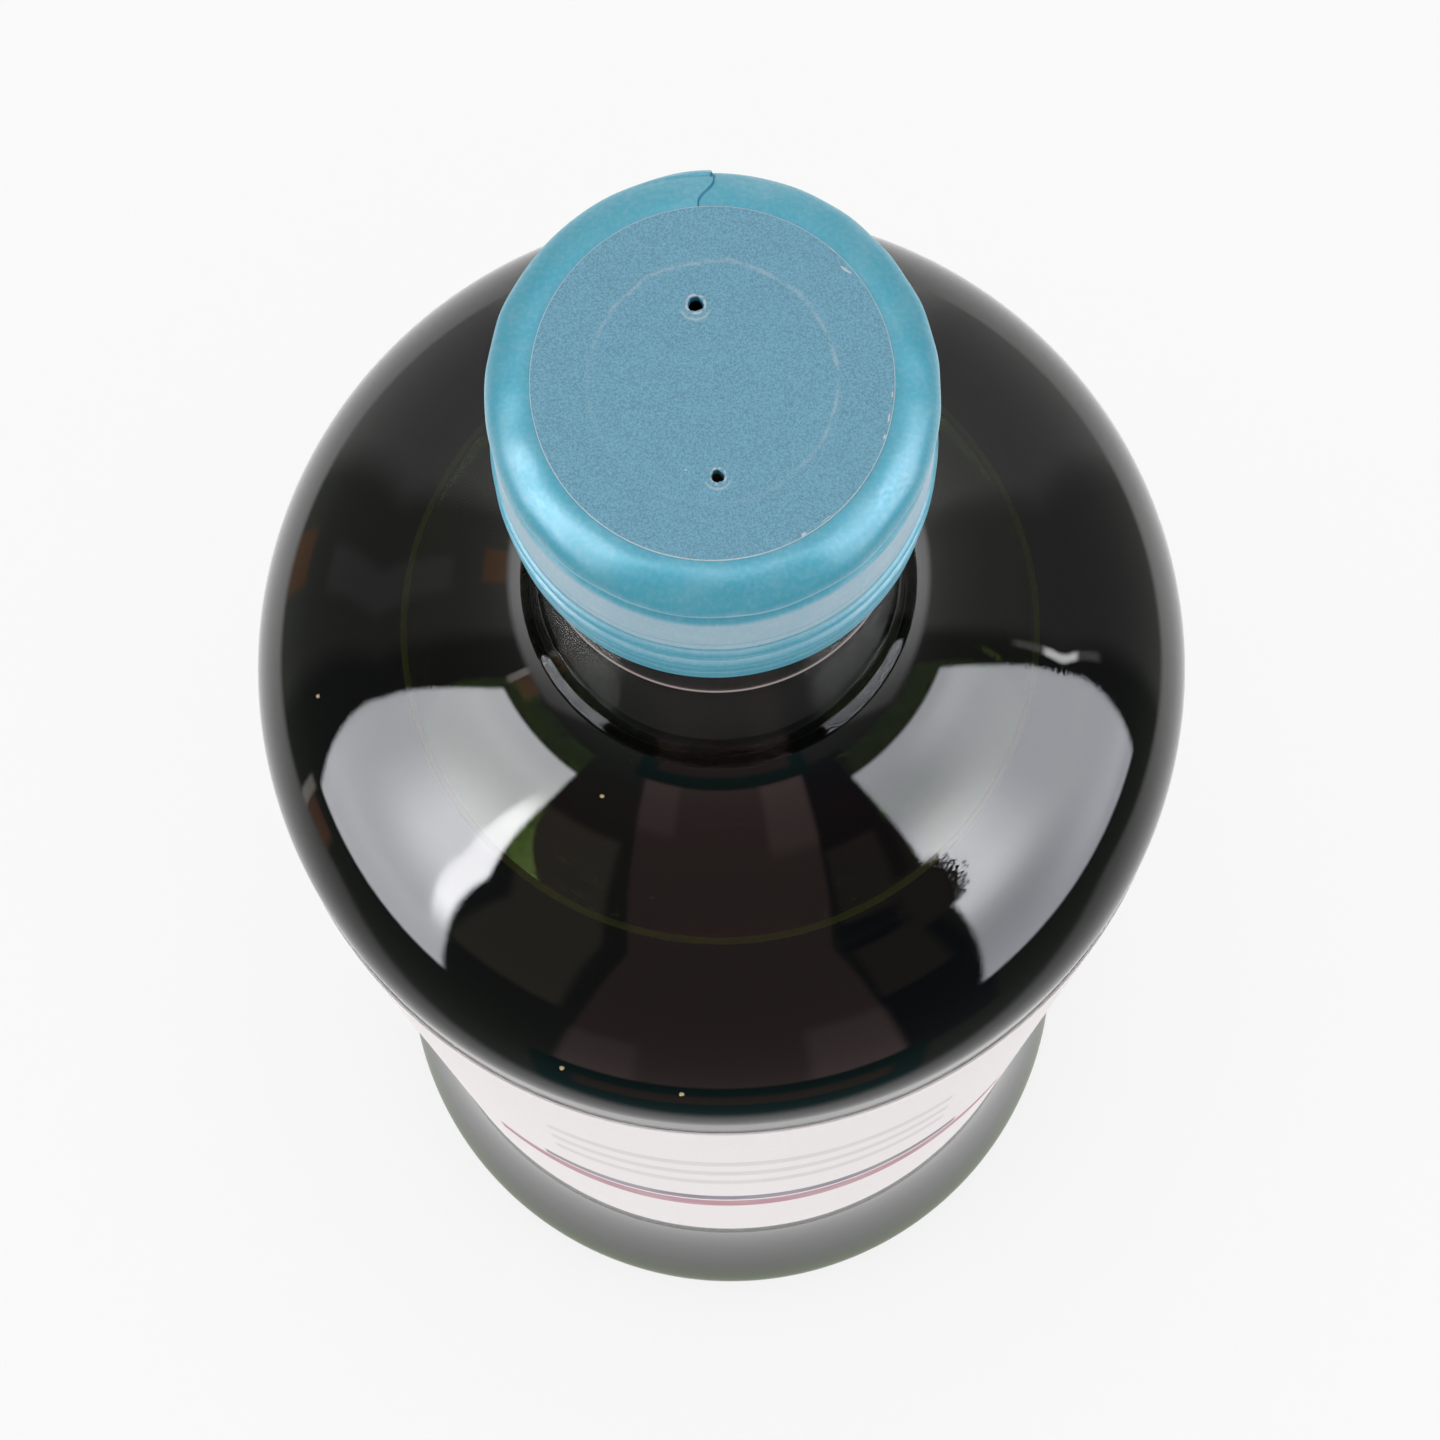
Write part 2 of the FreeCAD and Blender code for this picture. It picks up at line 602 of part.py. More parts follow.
emboss = Outline(disc, "EmbossOutline")
emboss_high = top_level + size["disc_thickness"] + size["emboss_depth"]
emboss_low = top_level + size["disc_thickness"] - size["emboss_depth"]
emboss_in = emboss_radius - size["emboss_half"]
emboss_out = emboss_radius + size["emboss_half"]
emboss.line("inner", (emboss_in, emboss_high), (emboss_radius, emboss_low))
emboss.line("outer", (emboss_radius, emboss_low), (emboss_out, emboss_high))
emboss.line("top", (emboss_out, emboss_high), (emboss_in, emboss_high))
emboss.join("inner", END, "outer", START)
emboss.join("outer", END, "top", START)
emboss.join("top", END, "inner", START)
emboss.flat("top")
emboss.across("inner", START, f"{EMBOSS_RADIUS} - emboss_half")
emboss.across("outer", END, f"{EMBOSS_RADIUS} + emboss_half")
emboss.across("inner", END, EMBOSS_RADIUS)
emboss.up("inner", START, f"{TOP} + disc_thickness + emboss_depth")
emboss.up("inner", END, f"{TOP} + disc_thickness - emboss_depth")
turned(disc, "Groove", "PressedRing", emboss.done())

# ---- the label round the wall ----

label = new_body("label")
paper = Outline(label, "LabelOutline")
lower_wall(paper, True, math.pi / 2)
paper.rule("Vertical", paper.edge["shoulder"], END, paper.edge["shoulder"], CENTRE)


wall_foot = point_on(waist_centre, size["waist_round"], math.pi - wall_lean)
label_bottom = wall_foot[1] + size["label_rise"]


def wall_radius(level):
    """Radius of the straight wall at a height."""
    return wall_foot[0] + (level - wall_foot[1]) * math.tan(wall_lean)


low_in = (wall_radius(label_bottom), label_bottom)
high_in = (wall_radius(label_top), label_top)
low_out = (low_in[0] + size["label_thickness"], low_in[1])
high_out = (high_in[0] + size["label_thickness"], high_in[1])
paper.line("back", high_in, low_in)
paper.line("lower", low_in, low_out)
paper.line("front", low_out, high_out)
paper.line("upper", high_out, high_in)
paper.join("back", END, "lower", START)
paper.join("lower", END, "front", START)
paper.join("front", END, "upper", START)
paper.join("upper", END, "back", START)
paper.flat("lower", "upper")
paper.rule("PointOnObject", paper.edge["back"], START, paper.edge["wall"])
paper.rule("PointOnObject", paper.edge["back"], END, paper.edge["wall"])
paper.up("back", START, LABEL_TOP)
paper.bind("DistanceY", (paper.edge["wall"], START, paper.edge["back"], END), "label_rise")
paper.bind("DistanceX", (paper.edge["lower"], START, paper.edge["lower"], END), "label_thickness")
paper.bind("DistanceX", (paper.edge["upper"], END, paper.edge["upper"], START), "label_thickness")
turned(label, "Revolution", "Wrap", paper.done())

ends = Outline(label, "LabelEnds")
half_gap = size["label_gap"] / 2
ends.line("low", (-half_gap, 0), (half_gap, 0))
ends.line("right", (half_gap, 0), (half_gap, label_top))
ends.line("high", (half_gap, label_top), (-half_gap, label_top))
ends.line("left", (-half_gap, label_top), (-half_gap, 0))
ends.join("low", END, "right", START)
ends.join("right", END, "high", START)
ends.join("high", END, "left", START)
ends.join("left", END, "low", START)
ends.flat("high")
ends.upright("right", "left")
ends.rule("PointOnObject", ends.edge["low"], START, FLAT_AXIS)
ends.up("high", START, LABEL_TOP)
ends.bind("DistanceX", (ends.edge["low"], START, ends.edge["low"], END), "label_gap")
ends.rule("Symmetric", ends.edge["low"], START, ends.edge["low"], END, UPRIGHT_AXIS)
gap_cut = label.newObject("PartDesign::Pocket", "GapAtTheBack")
gap_cut.Profile = ends.done()
gap_cut.Type = "ThroughAll"
doc.recompute()

# ---- checks and files ----

for item in doc.Objects:
    if "Invalid" in item.State or "Error" in item.State:
        raise RuntimeError(f"{item.Name} failed: {item.State}")
os.makedirs("parts", exist_ok=True)
for body in (glass, whisky, capsule, disc, label):
    if body.Shape.isNull() or not body.Shape.isValid() or len(body.Shape.Solids) != 1:
        raise RuntimeError(f"{body.Label} isn't one valid solid")
    body.Shape.exportStep(f"parts/{body.Label}.step")
    print(body.Label, round(body.Shape.Volume / 1000, 3), "cm3")
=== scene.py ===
"""Looks for a full whisky bottle.

Dark glass, the drink in it, a shrunk-on capsule with a paper disc on top, and a paper label.
"""

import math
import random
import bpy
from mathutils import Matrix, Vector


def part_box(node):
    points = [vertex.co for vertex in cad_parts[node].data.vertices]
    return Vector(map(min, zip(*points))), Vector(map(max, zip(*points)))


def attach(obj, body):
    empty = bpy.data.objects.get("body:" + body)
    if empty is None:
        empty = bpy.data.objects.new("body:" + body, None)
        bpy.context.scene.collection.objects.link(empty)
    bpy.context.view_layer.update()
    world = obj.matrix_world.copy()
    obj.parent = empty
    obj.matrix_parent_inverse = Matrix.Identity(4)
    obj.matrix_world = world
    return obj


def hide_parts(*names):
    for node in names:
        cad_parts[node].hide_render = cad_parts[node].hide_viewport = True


bl_info = {
    "name": "Whisky bottle",
    "version": (1, 0, 0),
    "blender": (4, 5, 0),
    "location": "3D View > Sidebar > Whisky bottle",
    "description": "Builds a sealed whisky bottle and its small studio",
    "category": "Add Mesh",
}

import bpy
from bpy.props import FloatProperty, FloatVectorProperty, PointerProperty
from mathutils import Matrix, Vector

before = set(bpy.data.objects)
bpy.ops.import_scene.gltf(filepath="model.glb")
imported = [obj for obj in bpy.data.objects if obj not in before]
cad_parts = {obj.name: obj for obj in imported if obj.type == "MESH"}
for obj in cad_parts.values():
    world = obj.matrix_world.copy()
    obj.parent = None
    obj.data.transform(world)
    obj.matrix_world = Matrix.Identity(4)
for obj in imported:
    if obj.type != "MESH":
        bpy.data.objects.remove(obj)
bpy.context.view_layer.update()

MM = 0.001
BODY = "root"
LIP_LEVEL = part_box("glass_bottle")[1][2]
DRINK_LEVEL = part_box("whisky")[1][2]
SKIRT_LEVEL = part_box("capsule")[0][2]
DISC_LOW, DISC_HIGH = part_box("top_disc")
LABEL_LOW, LABEL_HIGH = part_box("label")

# How many columns of faces go round each piece.
GLASS_COLUMNS, DRINK_COLUMNS, CAPSULE_COLUMNS = 256, 192, 240
DISC_COLUMNS, LABEL_COLUMNS = 192, 220
DUST_SEED, VENT_SEED, DENT_SEED, CHIP_SEED = 4, 7, 11, 21


def linear(code):
    """An sRGB hex colour as the linear red, green and blue that shaders take."""
    parts = [int(code[place:place + 2], 16) / 255 for place in (1, 3, 5)]
    return tuple(part / 12.92 if part <= 0.04045 else ((part + 0.055) / 1.055) ** 2.4
                 for part in parts)


def length(name, description, metres):
    """A size that a user may change."""
    return FloatProperty(name=name, description=description, default=metres, unit="LENGTH",
                         precision=5)


def colour(name, description, code):
    """A colour that a user may change."""
    return FloatVectorProperty(name=name, description=description, subtype="COLOR", size=3,
                               min=0.0, max=1.0, default=linear(code))


class BottleSizes(bpy.types.PropertyGroup):
    """Sizes of the glass and its hollow"""

    shoulder_level: length("Shoulder level", "Height of the widest ring", 0.184)
    shoulder_radius: length("Shoulder radius", "Widest radius of the glass", 0.0414)
    shoulder_round: length("Shoulder round", "Radius of the shoulder's convex arc", 0.018)
    waist_radius: length("Waist radius", "Radius of the narrow ring above the foot", 0.036)
    waist_round: length("Waist round", "Radius of the hollow arc at the waist", 0.120)
    foot_radius: length("Foot radius", "Radius of the foot", 0.0393)
    heel_round: length("Heel round", "Rounding from the foot to the base", 0.005)
    punt_radius: length("Punt radius", "Radius of the hollow under the base", 0.027)
    punt_depth: length("Punt depth", "Depth of the hollow under the base", 0.006)
    flare_rise: length("Flare rise", "From the widest ring up to the neck", 0.0392)
    neck_radius: length("Neck radius", "Radius of the straight neck", 0.0146)
    neck_proud: length("Neck step out", "How far the neck stands out from the flare", 0.0004)
    neck_step: length("Neck step height", "Height of the step from flare to neck", 0.0006)
    seam_rise: length("Mould seam rise", "From the flare's top up to the mould seam", 0.0204)
    seam_proud: length("Mould seam proud", "How far the mould seam stands out", 0.0001)
    seam_half: length("Mould seam half", "Half the height of the mould seam", 0.0002)
    finish_length: length("Finish length", "Height of the thicker ring at the lip", 0.0222)
    finish_proud: length("Finish proud", "How far the thicker ring stands out", 0.001)
    lip_round: length("Lip round", "Rounding of the lip", 0.0016)
    glass_wall: length("Glass wall", "Thickness of the glass at the shoulder", 0.0042)
    inner_foot_radius: length("Inner foot radius", "Radius of the hollow near its floor", 0.0316)
    inner_heel_round: length("Inner heel round", "Rounding from inner wall to floor", 0.006)
    floor_wall: length("Floor thickness", "Thickness of the floor at its lowest", 0.006)
    floor_crown: length("Floor crown", "Height of the middle of the floor", 0.012)
    bore_radius: length("Bore radius", "Radius of the hollow inside the neck", 0.0095)
    bore_drop: length("Bore drop", "From the flare's top down to the bore", 0.0032)
    lining_drop: length("Dark bore", "From the flare's top down to where the bore shows dark",
                        0.013)
    root_drop: length("Thick root", "From the flare's top down to where the glass thickens",
                      0.0035)
    drink_reach: length("Drink reach", "How far the drink reaches into the wall", 0.00008)
    meniscus: length("Meniscus", "Rounding of the drink's edge under the glass", 0.0001)


class CoverSizes(bpy.types.PropertyGroup):
    """Sizes of the capsule, the paper disc and the label"""

    capsule_radius: length("Capsule radius", "Radius of the capsule's side", 0.0163)
    capsule_wall: length("Capsule wall", "Thickness of the capsule's skirt", 0.0006)
    rim_round: length("Rim round", "Rounding of the capsule's rim", 0.0029)
    groove_drop: length("Groove drop", "From the top down to the groove", 0.0036)
    groove_height: length("Groove height", "Height of the groove", 0.0029)
    groove_depth: length("Groove depth", "Depth of the groove", 0.00045)
    ridge_drop: length("Ridge drop", "From the top down to the upper fine ridge", 0.0161)
    ridge_spacing: length("Ridge spacing", "From one fine ridge to the next", 0.0032)
    ridge_half: length("Ridge half", "Half the height of a fine ridge", 0.0004)
    ridge_proud: length("Ridge proud", "How far a fine ridge stands out", 0.0003)
    lap_thickness: length("Lap thickness", "Step of the capsule's lapped seam", 0.0002)
    disc_edge: length("Disc edge", "Width of the disc's bare cut edge", 0.00005)
    ring_radius: length("Pressed ring", "Radius of the ring pressed in the disc", 0.0089)
    ring_depth: length("Ring depth", "Depth of the pressed ring", 0.00008)
    label_gap: length("Label gap", "Gap between the label's ends at the back", 0.016)
    label_thickness: length("Label thickness", "Thickness of the label", 0.0002)


class BottleColours(bpy.types.PropertyGroup):
    """Colours of the finishes"""

    glass: colour("Glass", "What the dark glass lets through", "#97AD37")
    # The mould seam's colour is a painted highlight for the light the thin bead catches.
    seam_painted_highlight: colour("Mould seam", "Scuffed glass on the mould seam", "#A39490")
    # The bore's colour is partly the stopper and partly painted shade.
    bore_fill_and_shade: colour("Bore", "What shows of the bore through the neck", "#1D1614")
    drink: colour("Drink", "What the whisky lets through", "#F5DB38")
    # The drink's edge colour is a painted highlight for the light the curved edge gathers.
    meniscus: colour("Drink's edge", "Light caught where the drink meets the glass", "#806A24")
    film: colour("Capsule", "Printed film of the capsule", "#309CB4")
    # The pale colour is partly the film's stretched tone and partly painted highlight; the deep one
    # is painted shade in the hollows and on the seam's step.
    film_pale_and_lit: colour("Capsule, pale", "Worn and stretched film", "#ACC8D6")
    film_deep_and_shaded: colour("Capsule, deep", "Film in its hollows and at its cut", "#2B7A96")
    disc: colour("Disc", "Printed face of the paper disc", "#6C9EB4")
    core: colour("Paper core", "Bare paper where print is cut or rubbed", "#C6CED2")
    label: colour("Label", "Face of the label", "#F4EEEE")
    rule: colour("Label rule", "Printed rule on the label", "#A85C70")
    rule_dark: colour("Label rule, dark", "Dark edge of the printed rule", "#4E4560")
    rule_faint: colour("Label bars", "Faint bars above the printed rule", "#A9A4A8")
    dust: colour("Dust", "Settled specks of dust", "#C9B58A")
    floor: colour("Floor", "Floor under the bottle", "#FBF9F9")


# ---- meshes ----


def ease(low, high, value):
    """A soft step from 0 to 1 between two values."""
    part = min(max((value - low) / (high - low), 0.0), 1.0)
    return part * part * (3 - 2 * part)


def arc(centre, radius, first, last, steps):
    """Points along an arc, from one angle to another, in radians."""
    turn = (last - first) / steps
    return [(centre[0] + radius * math.cos(first + step * turn),
             centre[1] + radius * math.sin(first + step * turn)) for step in range(steps + 1)]


def straight(start, end, steps):
    """Points from one place to another, the last one left out."""
    return [(start[0] + (end[0] - start[0]) * step / steps,
             start[1] + (end[1] - start[1]) * step / steps) for step in range(steps)]


SAME_POINT = 0.002 * MM
WELD = 0.001 * MM


def thinned(outline):
    """An outline without points that lie on the one before."""
    kept = outline[:1]
    for point in outline[1:]:
        if math.dist(point, kept[-1]) > SAME_POINT:
            kept.append(point)
    return kept


def settle(piece):
    """Leaves the object at the origin, with its place in its mesh."""
    bpy.ops.object.transform_apply(location=True, rotation=True, scale=True)
    return piece


def turn_up(name, outline, steps, turn=math.tau, first=0.0):
    """Turns an outline of radii and levels about the bottle's axis into a surface."""
    bpy.ops.object.select_all(action="DESELECT")
    start = Vector((outline[0][0], 0.0, outline[0][1]))
    bpy.ops.mesh.primitive_plane_add(size=MM, location=start)
    piece = settle(bpy.context.active_object)
    piece.name = piece.data.name = name
    bpy.ops.object.mode_set(mode="EDIT")
    bpy.ops.mesh.select_all(action="SELECT")
    bpy.ops.mesh.merge(type="CENTER")
    for here, there in zip(outline, outline[1:]):
        step = (there[0] - here[0], 0.0, there[1] - here[1])
        bpy.ops.mesh.extrude_region_move(TRANSFORM_OT_translate={"value": step})
    bpy.ops.mesh.select_all(action="SELECT")
    if first:
        bpy.ops.transform.rotate(value=-first, orient_axis="Z", center_override=(0.0, 0.0, 0.0))
    bpy.ops.mesh.spin(steps=steps, angle=turn, center=(0.0, 0.0, 0.0), axis=(0.0, 0.0, 1.0))
    bpy.ops.mesh.select_all(action="SELECT")
    bpy.ops.mesh.remove_doubles(threshold=WELD)
    bpy.ops.mesh.normals_make_consistent(inside=False)
    bpy.ops.object.mode_set(mode="OBJECT")
    return piece


def only(piece):
    """Makes one piece the only selected one, and the active one."""
    bpy.ops.object.select_all(action="DESELECT")
    piece.select_set(True)
    bpy.context.view_layer.objects.active = piece


def apply_modifier(piece, kind, **settings):
    """Adds one modifier to a piece and applies it."""
    only(piece)
    bpy.ops.object.modifier_add(type=kind)
    modifier = piece.modifiers[-1]
    for name, value in settings.items():
        setattr(modifier, name, value)
    bpy.ops.object.modifier_apply(modifier=modifier.name)


def smooth(piece, degrees):
    """Smooth shading, with edges sharper than an angle left crisp."""
    only(piece)
    bpy.ops.object.shade_smooth_by_angle(angle=math.radians(degrees))


def paint(piece, materials, choose):
    """Gives a piece its materials, and each face the one that choose() names by index."""
    for material in materials:
        piece.data.materials.append(material)
    for face in piece.data.polygons:
        face.material_index = choose(face.center, face.normal)


def join(piece, others):
    """Joins other meshes to a piece."""
    only(piece)
    for other in others:
        other.select_set(True)
    bpy.ops.object.join()


def radius_of(place):
    """How far a place lies from the bottle's axis."""
    return math.hypot(place[0], place[1])


def outward(place, normal):
    """How much a face looks away from the bottle's axis, from -1 to 1."""
    return (normal[0] * place[0] + normal[1] * place[1]) / max(radius_of(place), MM)


def finish_piece(piece, node):
    """Hangs a finished piece on what it rides on, and hides the part it stands for."""
    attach(piece, BODY)
    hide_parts(node)


# ---- materials ----

WHITE = (1.0, 1.0, 1.0, 1.0)
BLACK = (0.0, 0.0, 0.0, 1.0)

# The kinds of node that the materials use most, each with its setting.
TIMES = ("ShaderNodeMath", {"operation": "MULTIPLY"})
PLUS = ("ShaderNodeMath", {"operation": "ADD"})
TIMES_PLUS = ("ShaderNodeMath", {"operation": "MULTIPLY_ADD"})
LARGER = ("ShaderNodeMath", {"operation": "MAXIMUM"})
SMALLER = ("ShaderNodeMath", {"operation": "MINIMUM"})
SOFT_STEP = ("ShaderNodeMapRange", {"interpolation_type": "SMOOTHSTEP"})
COLOUR_MIX = ("ShaderNodeMix", {"data_type": "RGBA"})
MIX_FACTOR, MIX_A, MIX_B, MIX_RESULT = 0, 6, 7, 2


def add_node(tree, kind, settings=None, inputs=()):
    """Adds a node. Its inputs come in their order, or each by its name or place.

    One that is a node is linked from that node's first output, one that is an output is linked
    from it, and any other is set.
    """
    node = tree.nodes.new(kind)
    for name, value in (settings or {}).items():
        setattr(node, name, value)
    if not isinstance(inputs, dict):
        inputs = dict(enumerate(inputs))
    for name, value in inputs.items():
        if isinstance(value, bpy.types.Node):
            value = value.outputs[0]
        if isinstance(value, bpy.types.NodeSocket):
            tree.links.new(value, node.inputs[name])
        else:
            node.inputs[name].default_value = value
    return node


def new_material(name):
    """A material without nodes, and its node tree."""
    material = bpy.data.materials.new(name)
    material.use_nodes = True
    material.node_tree.nodes.clear()
    return material, material.node_tree


def opaque(values):
    """A colour with its alpha at 1."""
    return (*values, 1.0)


def band(tree, value, low, high, soft, strength=1.0):
    """A strength between two values of an input, and 0 beyond them, with soft ends."""
    half = soft / 2
    rise = add_node(tree, *SOFT_STEP, (value, low - half, low + half, 0.0, strength))
    fall = add_node(tree, *SOFT_STEP, (value, high - half, high + half, 1.0, 0.0))
    return add_node(tree, *TIMES, (rise, fall))


# The skins of a clear body. A clean one mirrors sharply.
CLEAN = {}
# Against the drink a wall hardly mirrors, so the glass looks filled.
WETTED = {"Specular Tint": BLACK}
# Hands leave a faint film, which greys the glass and softens what it mirrors.
HANDLED = {"Base Color": (1.0, 0.94, 0.92, 1.0), "Transmission Weight": 0.989, "Roughness": 0.25}
# Where the neck was drawn out of the flare, a little roughness dulls the glass.
DRAWN = {"Roughness": 0.2}


def clear_material(name, ior, seen_through, density, skin, wave_depth=0.0):
    """A clear body that darkens with depth, under one of the skins above."""
    material, tree = new_material(name)
    looks = {"Base Color": WHITE, "Roughness": 0.0, "IOR": ior, "Transmission Weight": 1.0, **skin}
    if wave_depth:
        # Blown and pressed glass is never quite true: slow waves, 22 mm long, make reflections
        # wander a little.
        place = add_node(tree, "ShaderNodeTexCoord").outputs["Object"]
        waves = add_node(tree, "ShaderNodeTexNoise", {},
                         {"Vector": place, "Scale": 1 / (22 * MM), "Detail": 1.0})
        looks["Normal"] = add_node(tree, "ShaderNodeBump", {},
                                   {"Strength": 1.0, "Distance": wave_depth, "Height": waves})
    body = add_node(tree, "ShaderNodeBsdfPrincipled", {}, looks)
    depth = add_node(tree, "ShaderNodeVolumeAbsorption", {},
                     {"Color": opaque(seen_through), "Density": density})
    add_node(tree, "ShaderNodeOutputMaterial", {}, {"Surface": body, "Volume": depth})
    return material


def dull_material(name, face_colour, roughness, gloss):
    """A plain opaque skin: matt at gloss 0, as shiny as glass or plastic at 0.5."""
    material, tree = new_material(name)
    body = add_node(tree, "ShaderNodeBsdfPrincipled", {},
                    {"Base Color": opaque(face_colour), "Roughness": roughness,
                     "Specular IOR Level": gloss})
    add_node(tree, "ShaderNodeOutputMaterial", {}, {"Surface": body})
    # Builds every piece and the studio.
    return material


FILM_BANDS = [
    # Rings round the film's side. The pale rings on the crease and on the ridges' tops are painted
    # highlights, and the deep rings in the groove and under the ridges are painted shade; the rest
    # are the film's own
    # paler and deeper tones. Each ring: depth below the top and half the height in mm, and how much
    # paler it shows, or below 0 how much deeper.
    (3.4, 0.3, 0.5), (4.9, 1.1, -0.4), (10.5, 3.9, 0.82), (12.9, 0.15, -0.35), (15.4, 0.4, 0.5),
    (16.8, 0.5, -0.8), (17.6, 0.15, 0.4), (18.7, 0.4, 0.5), (20.0, 0.5, -0.8), (21.2, 0.15, 0.35),
    (22.0, 0.15, -0.4), (22.8, 0.15, 0.35), (23.6, 0.15, -0.4),
]
FILM_TOP = DISC_LOW[2] + 0.15 * MM
FILM_EDGE = 0.6  # in mm, the softest end that a ring has


def film_material(colours):
    """Shrunk PVC film, printed in one colour: satin, cloudy where it stretched over the rim, with
    painted highlights and painted shade in rings round its side.
    """
    material, tree = new_material("shrunk_pvc_film")
    place = add_node(tree, "ShaderNodeTexCoord").outputs["Object"]
    # Film stretches unevenly as it shrinks, so its ink thins in soft patches 3 mm across.
    patches = add_node(tree, "ShaderNodeTexNoise", {},
                       {"Vector": place, "Scale": 1 / (3.2 * MM), "Detail": 3.0})
    clouds = add_node(tree, *SOFT_STEP, (patches, 0.42, 0.78, 0.0, 0.13))
    # It also draws the ink into fine upright streaks, 0.4 mm wide and four times as long.
    drawn = add_node(tree, "ShaderNodeMapping", {}, {"Vector": place, "Scale": (1.0, 1.0, 0.25)})
    streaks = add_node(tree, "ShaderNodeTexNoise", {},
                       {"Vector": drawn, "Scale": 1 / (0.4 * MM), "Detail": 2.0})
    fine = add_node(tree, *SOFT_STEP, (streaks, 0.4, 0.7, 0.0, 0.12))
    # The rings wander up and down by 0.3 mm, as the film did round the neck.
    level = add_node(tree, "ShaderNodeSeparateXYZ", {}, (place,)).outputs["Z"]
    slow = add_node(tree, "ShaderNodeTexNoise", {},
                    {"Vector": place, "Scale": 1 / (7 * MM), "Detail": 1.0})
    wander = add_node(tree, *TIMES_PLUS, (slow, 0.3 * MM, level))
    pale = add_node(tree, *PLUS, (clouds, fine))
    deep = 0.0
    for depth, half, strength in FILM_BANDS:
        ring = band(tree, wander, FILM_TOP - (depth + half) * MM, FILM_TOP - (depth - half) * MM,
                    min(half, FILM_EDGE) * MM, abs(strength))
        if strength > 0:
            pale = add_node(tree, *PLUS, (pale, ring))
        else:
            deep = add_node(tree, *PLUS, (deep, ring))
    # The pale share mixes in the stretched film's tone and painted highlights, and the deep share
    # mixes in painted shade.
    ink = opaque(colours.film)
    for share, other in ((pale, colours.film_pale_and_lit), (deep, colours.film_deep_and_shaded)):
        share = add_node(tree, *SMALLER, (share, 1.0))
        ink = add_node(tree, *COLOUR_MIX, {MIX_FACTOR: share, MIX_A: ink,
                                           MIX_B: opaque(other)}).outputs[MIX_RESULT]
    # A fine leathery grain, 0.3 mm, breaks up the satin gloss.
    grain = add_node(tree, "ShaderNodeTexNoise", {},
                     {"Vector": place, "Scale": 1 / (0.3 * MM), "Detail": 2.0})
    satin = add_node(tree, *SOFT_STEP, (grain, 0.3, 0.7, 0.34, 0.48))
    body = add_node(tree, "ShaderNodeBsdfPrincipled", {},
                    {"Base Color": ink, "Roughness": satin, "IOR": 1.53,
                     "Specular IOR Level": 0.9})
    add_node(tree, "ShaderNodeOutputMaterial", {}, {"Surface": body})
    return material


def paper_material(name, face_colour, grain, depth, roughness, contrast, printed=None):
    """Paper with a fibre grain of a real size: matt and slightly mottled.

    printed() is given the tree, the place and the tone, and returns the tone with its ink.
    """
    material, tree = new_material(name)
    place = add_node(tree, "ShaderNodeTexCoord").outputs["Object"]
    fibres = add_node(tree, "ShaderNodeTexNoise", {},
                      {"Vector": place, "Scale": 1 / grain, "Detail": 3.0, "Roughness": 0.6})
    patches = add_node(tree, "ShaderNodeTexNoise", {},
                       {"Vector": place, "Scale": 1 / (9 * grain), "Detail": 2.0})
    tone = opaque(value * (1 - contrast) for value in face_colour)
    light = opaque(min(1.0, value * (1 + contrast)) for value in face_colour)
    for pattern, low, high, most in ((fibres, 0.25, 0.75, 1.0), (patches, 0.35, 0.7, 0.12)):
        share = add_node(tree, *SOFT_STEP, (pattern, low, high, 0.0, most))
        tone = add_node(tree, *COLOUR_MIX, {MIX_FACTOR: share, MIX_A: tone,
                                            MIX_B: light}).outputs[MIX_RESULT]
    if printed:
        tone = printed(tree, place, tone)
    bump = add_node(tree, "ShaderNodeBump", {},
                    {"Strength": 0.5, "Distance": depth, "Height": fibres})
    body = add_node(tree, "ShaderNodeBsdfPrincipled", {},
                    {"Base Color": tone, "Roughness": roughness, "IOR": 1.45, "Normal": bump})
    add_node(tree, "ShaderNodeOutputMaterial", {}, {"Surface": body})
    return material


# ---- outlines ----


def flare_above(shoulder, shoulder_arc, neck, level):
    """The hollow arc that leaves the shoulder smoothly and ends upright at the neck.

    It gives the arc's middle, its radius, and the angle at which it leaves the shoulder.
    """
    rise = level - shoulder[1]
    run = shoulder[0] + shoulder_arc - neck
    radius = (run ** 2 + rise ** 2) / (2 * run) - shoulder_arc
    middle = (neck + radius, level)
    return middle, radius, math.atan2(middle[1] - shoulder[1], middle[0] - shoulder[0])


def outer_flare(size):
    """Middle of the shoulder's arc on the outside, and the flare above it."""
    shoulder = (size.shoulder_radius - size.shoulder_round, size.shoulder_level)
    return (shoulder, *flare_above(shoulder, size.shoulder_round,
                                   size.neck_radius - size.neck_proud,
                                   size.shoulder_level + size.flare_rise))


def outer_wall(size):
    """The outside below the shoulder, which stands on the rounded foot.

    It gives the middles of the heel's and of the waist's arc, the angle at which they meet, how
    far the straight wall leans, and where it starts.
    """
    shoulder = (size.shoulder_radius - size.shoulder_round, size.shoulder_level)
    heel = (size.foot_radius - size.heel_round, size.heel_round)
    across = size.waist_radius + size.waist_round
    rise = math.sqrt((size.waist_round + size.heel_round) ** 2 - (across - heel[0]) ** 2)
    waist = (across, heel[1] + rise)
    run, drop = waist[0] - shoulder[0], shoulder[1] - waist[1]
    lean = (math.atan2(drop, run)
            - math.acos((size.shoulder_round + size.waist_round) / math.hypot(run, drop)))
    wall_foot = (waist[0] - size.waist_round * math.cos(lean),
                 waist[1] + size.waist_round * math.sin(lean))
    return heel, waist, math.atan2(rise, across - heel[0]), lean, wall_foot


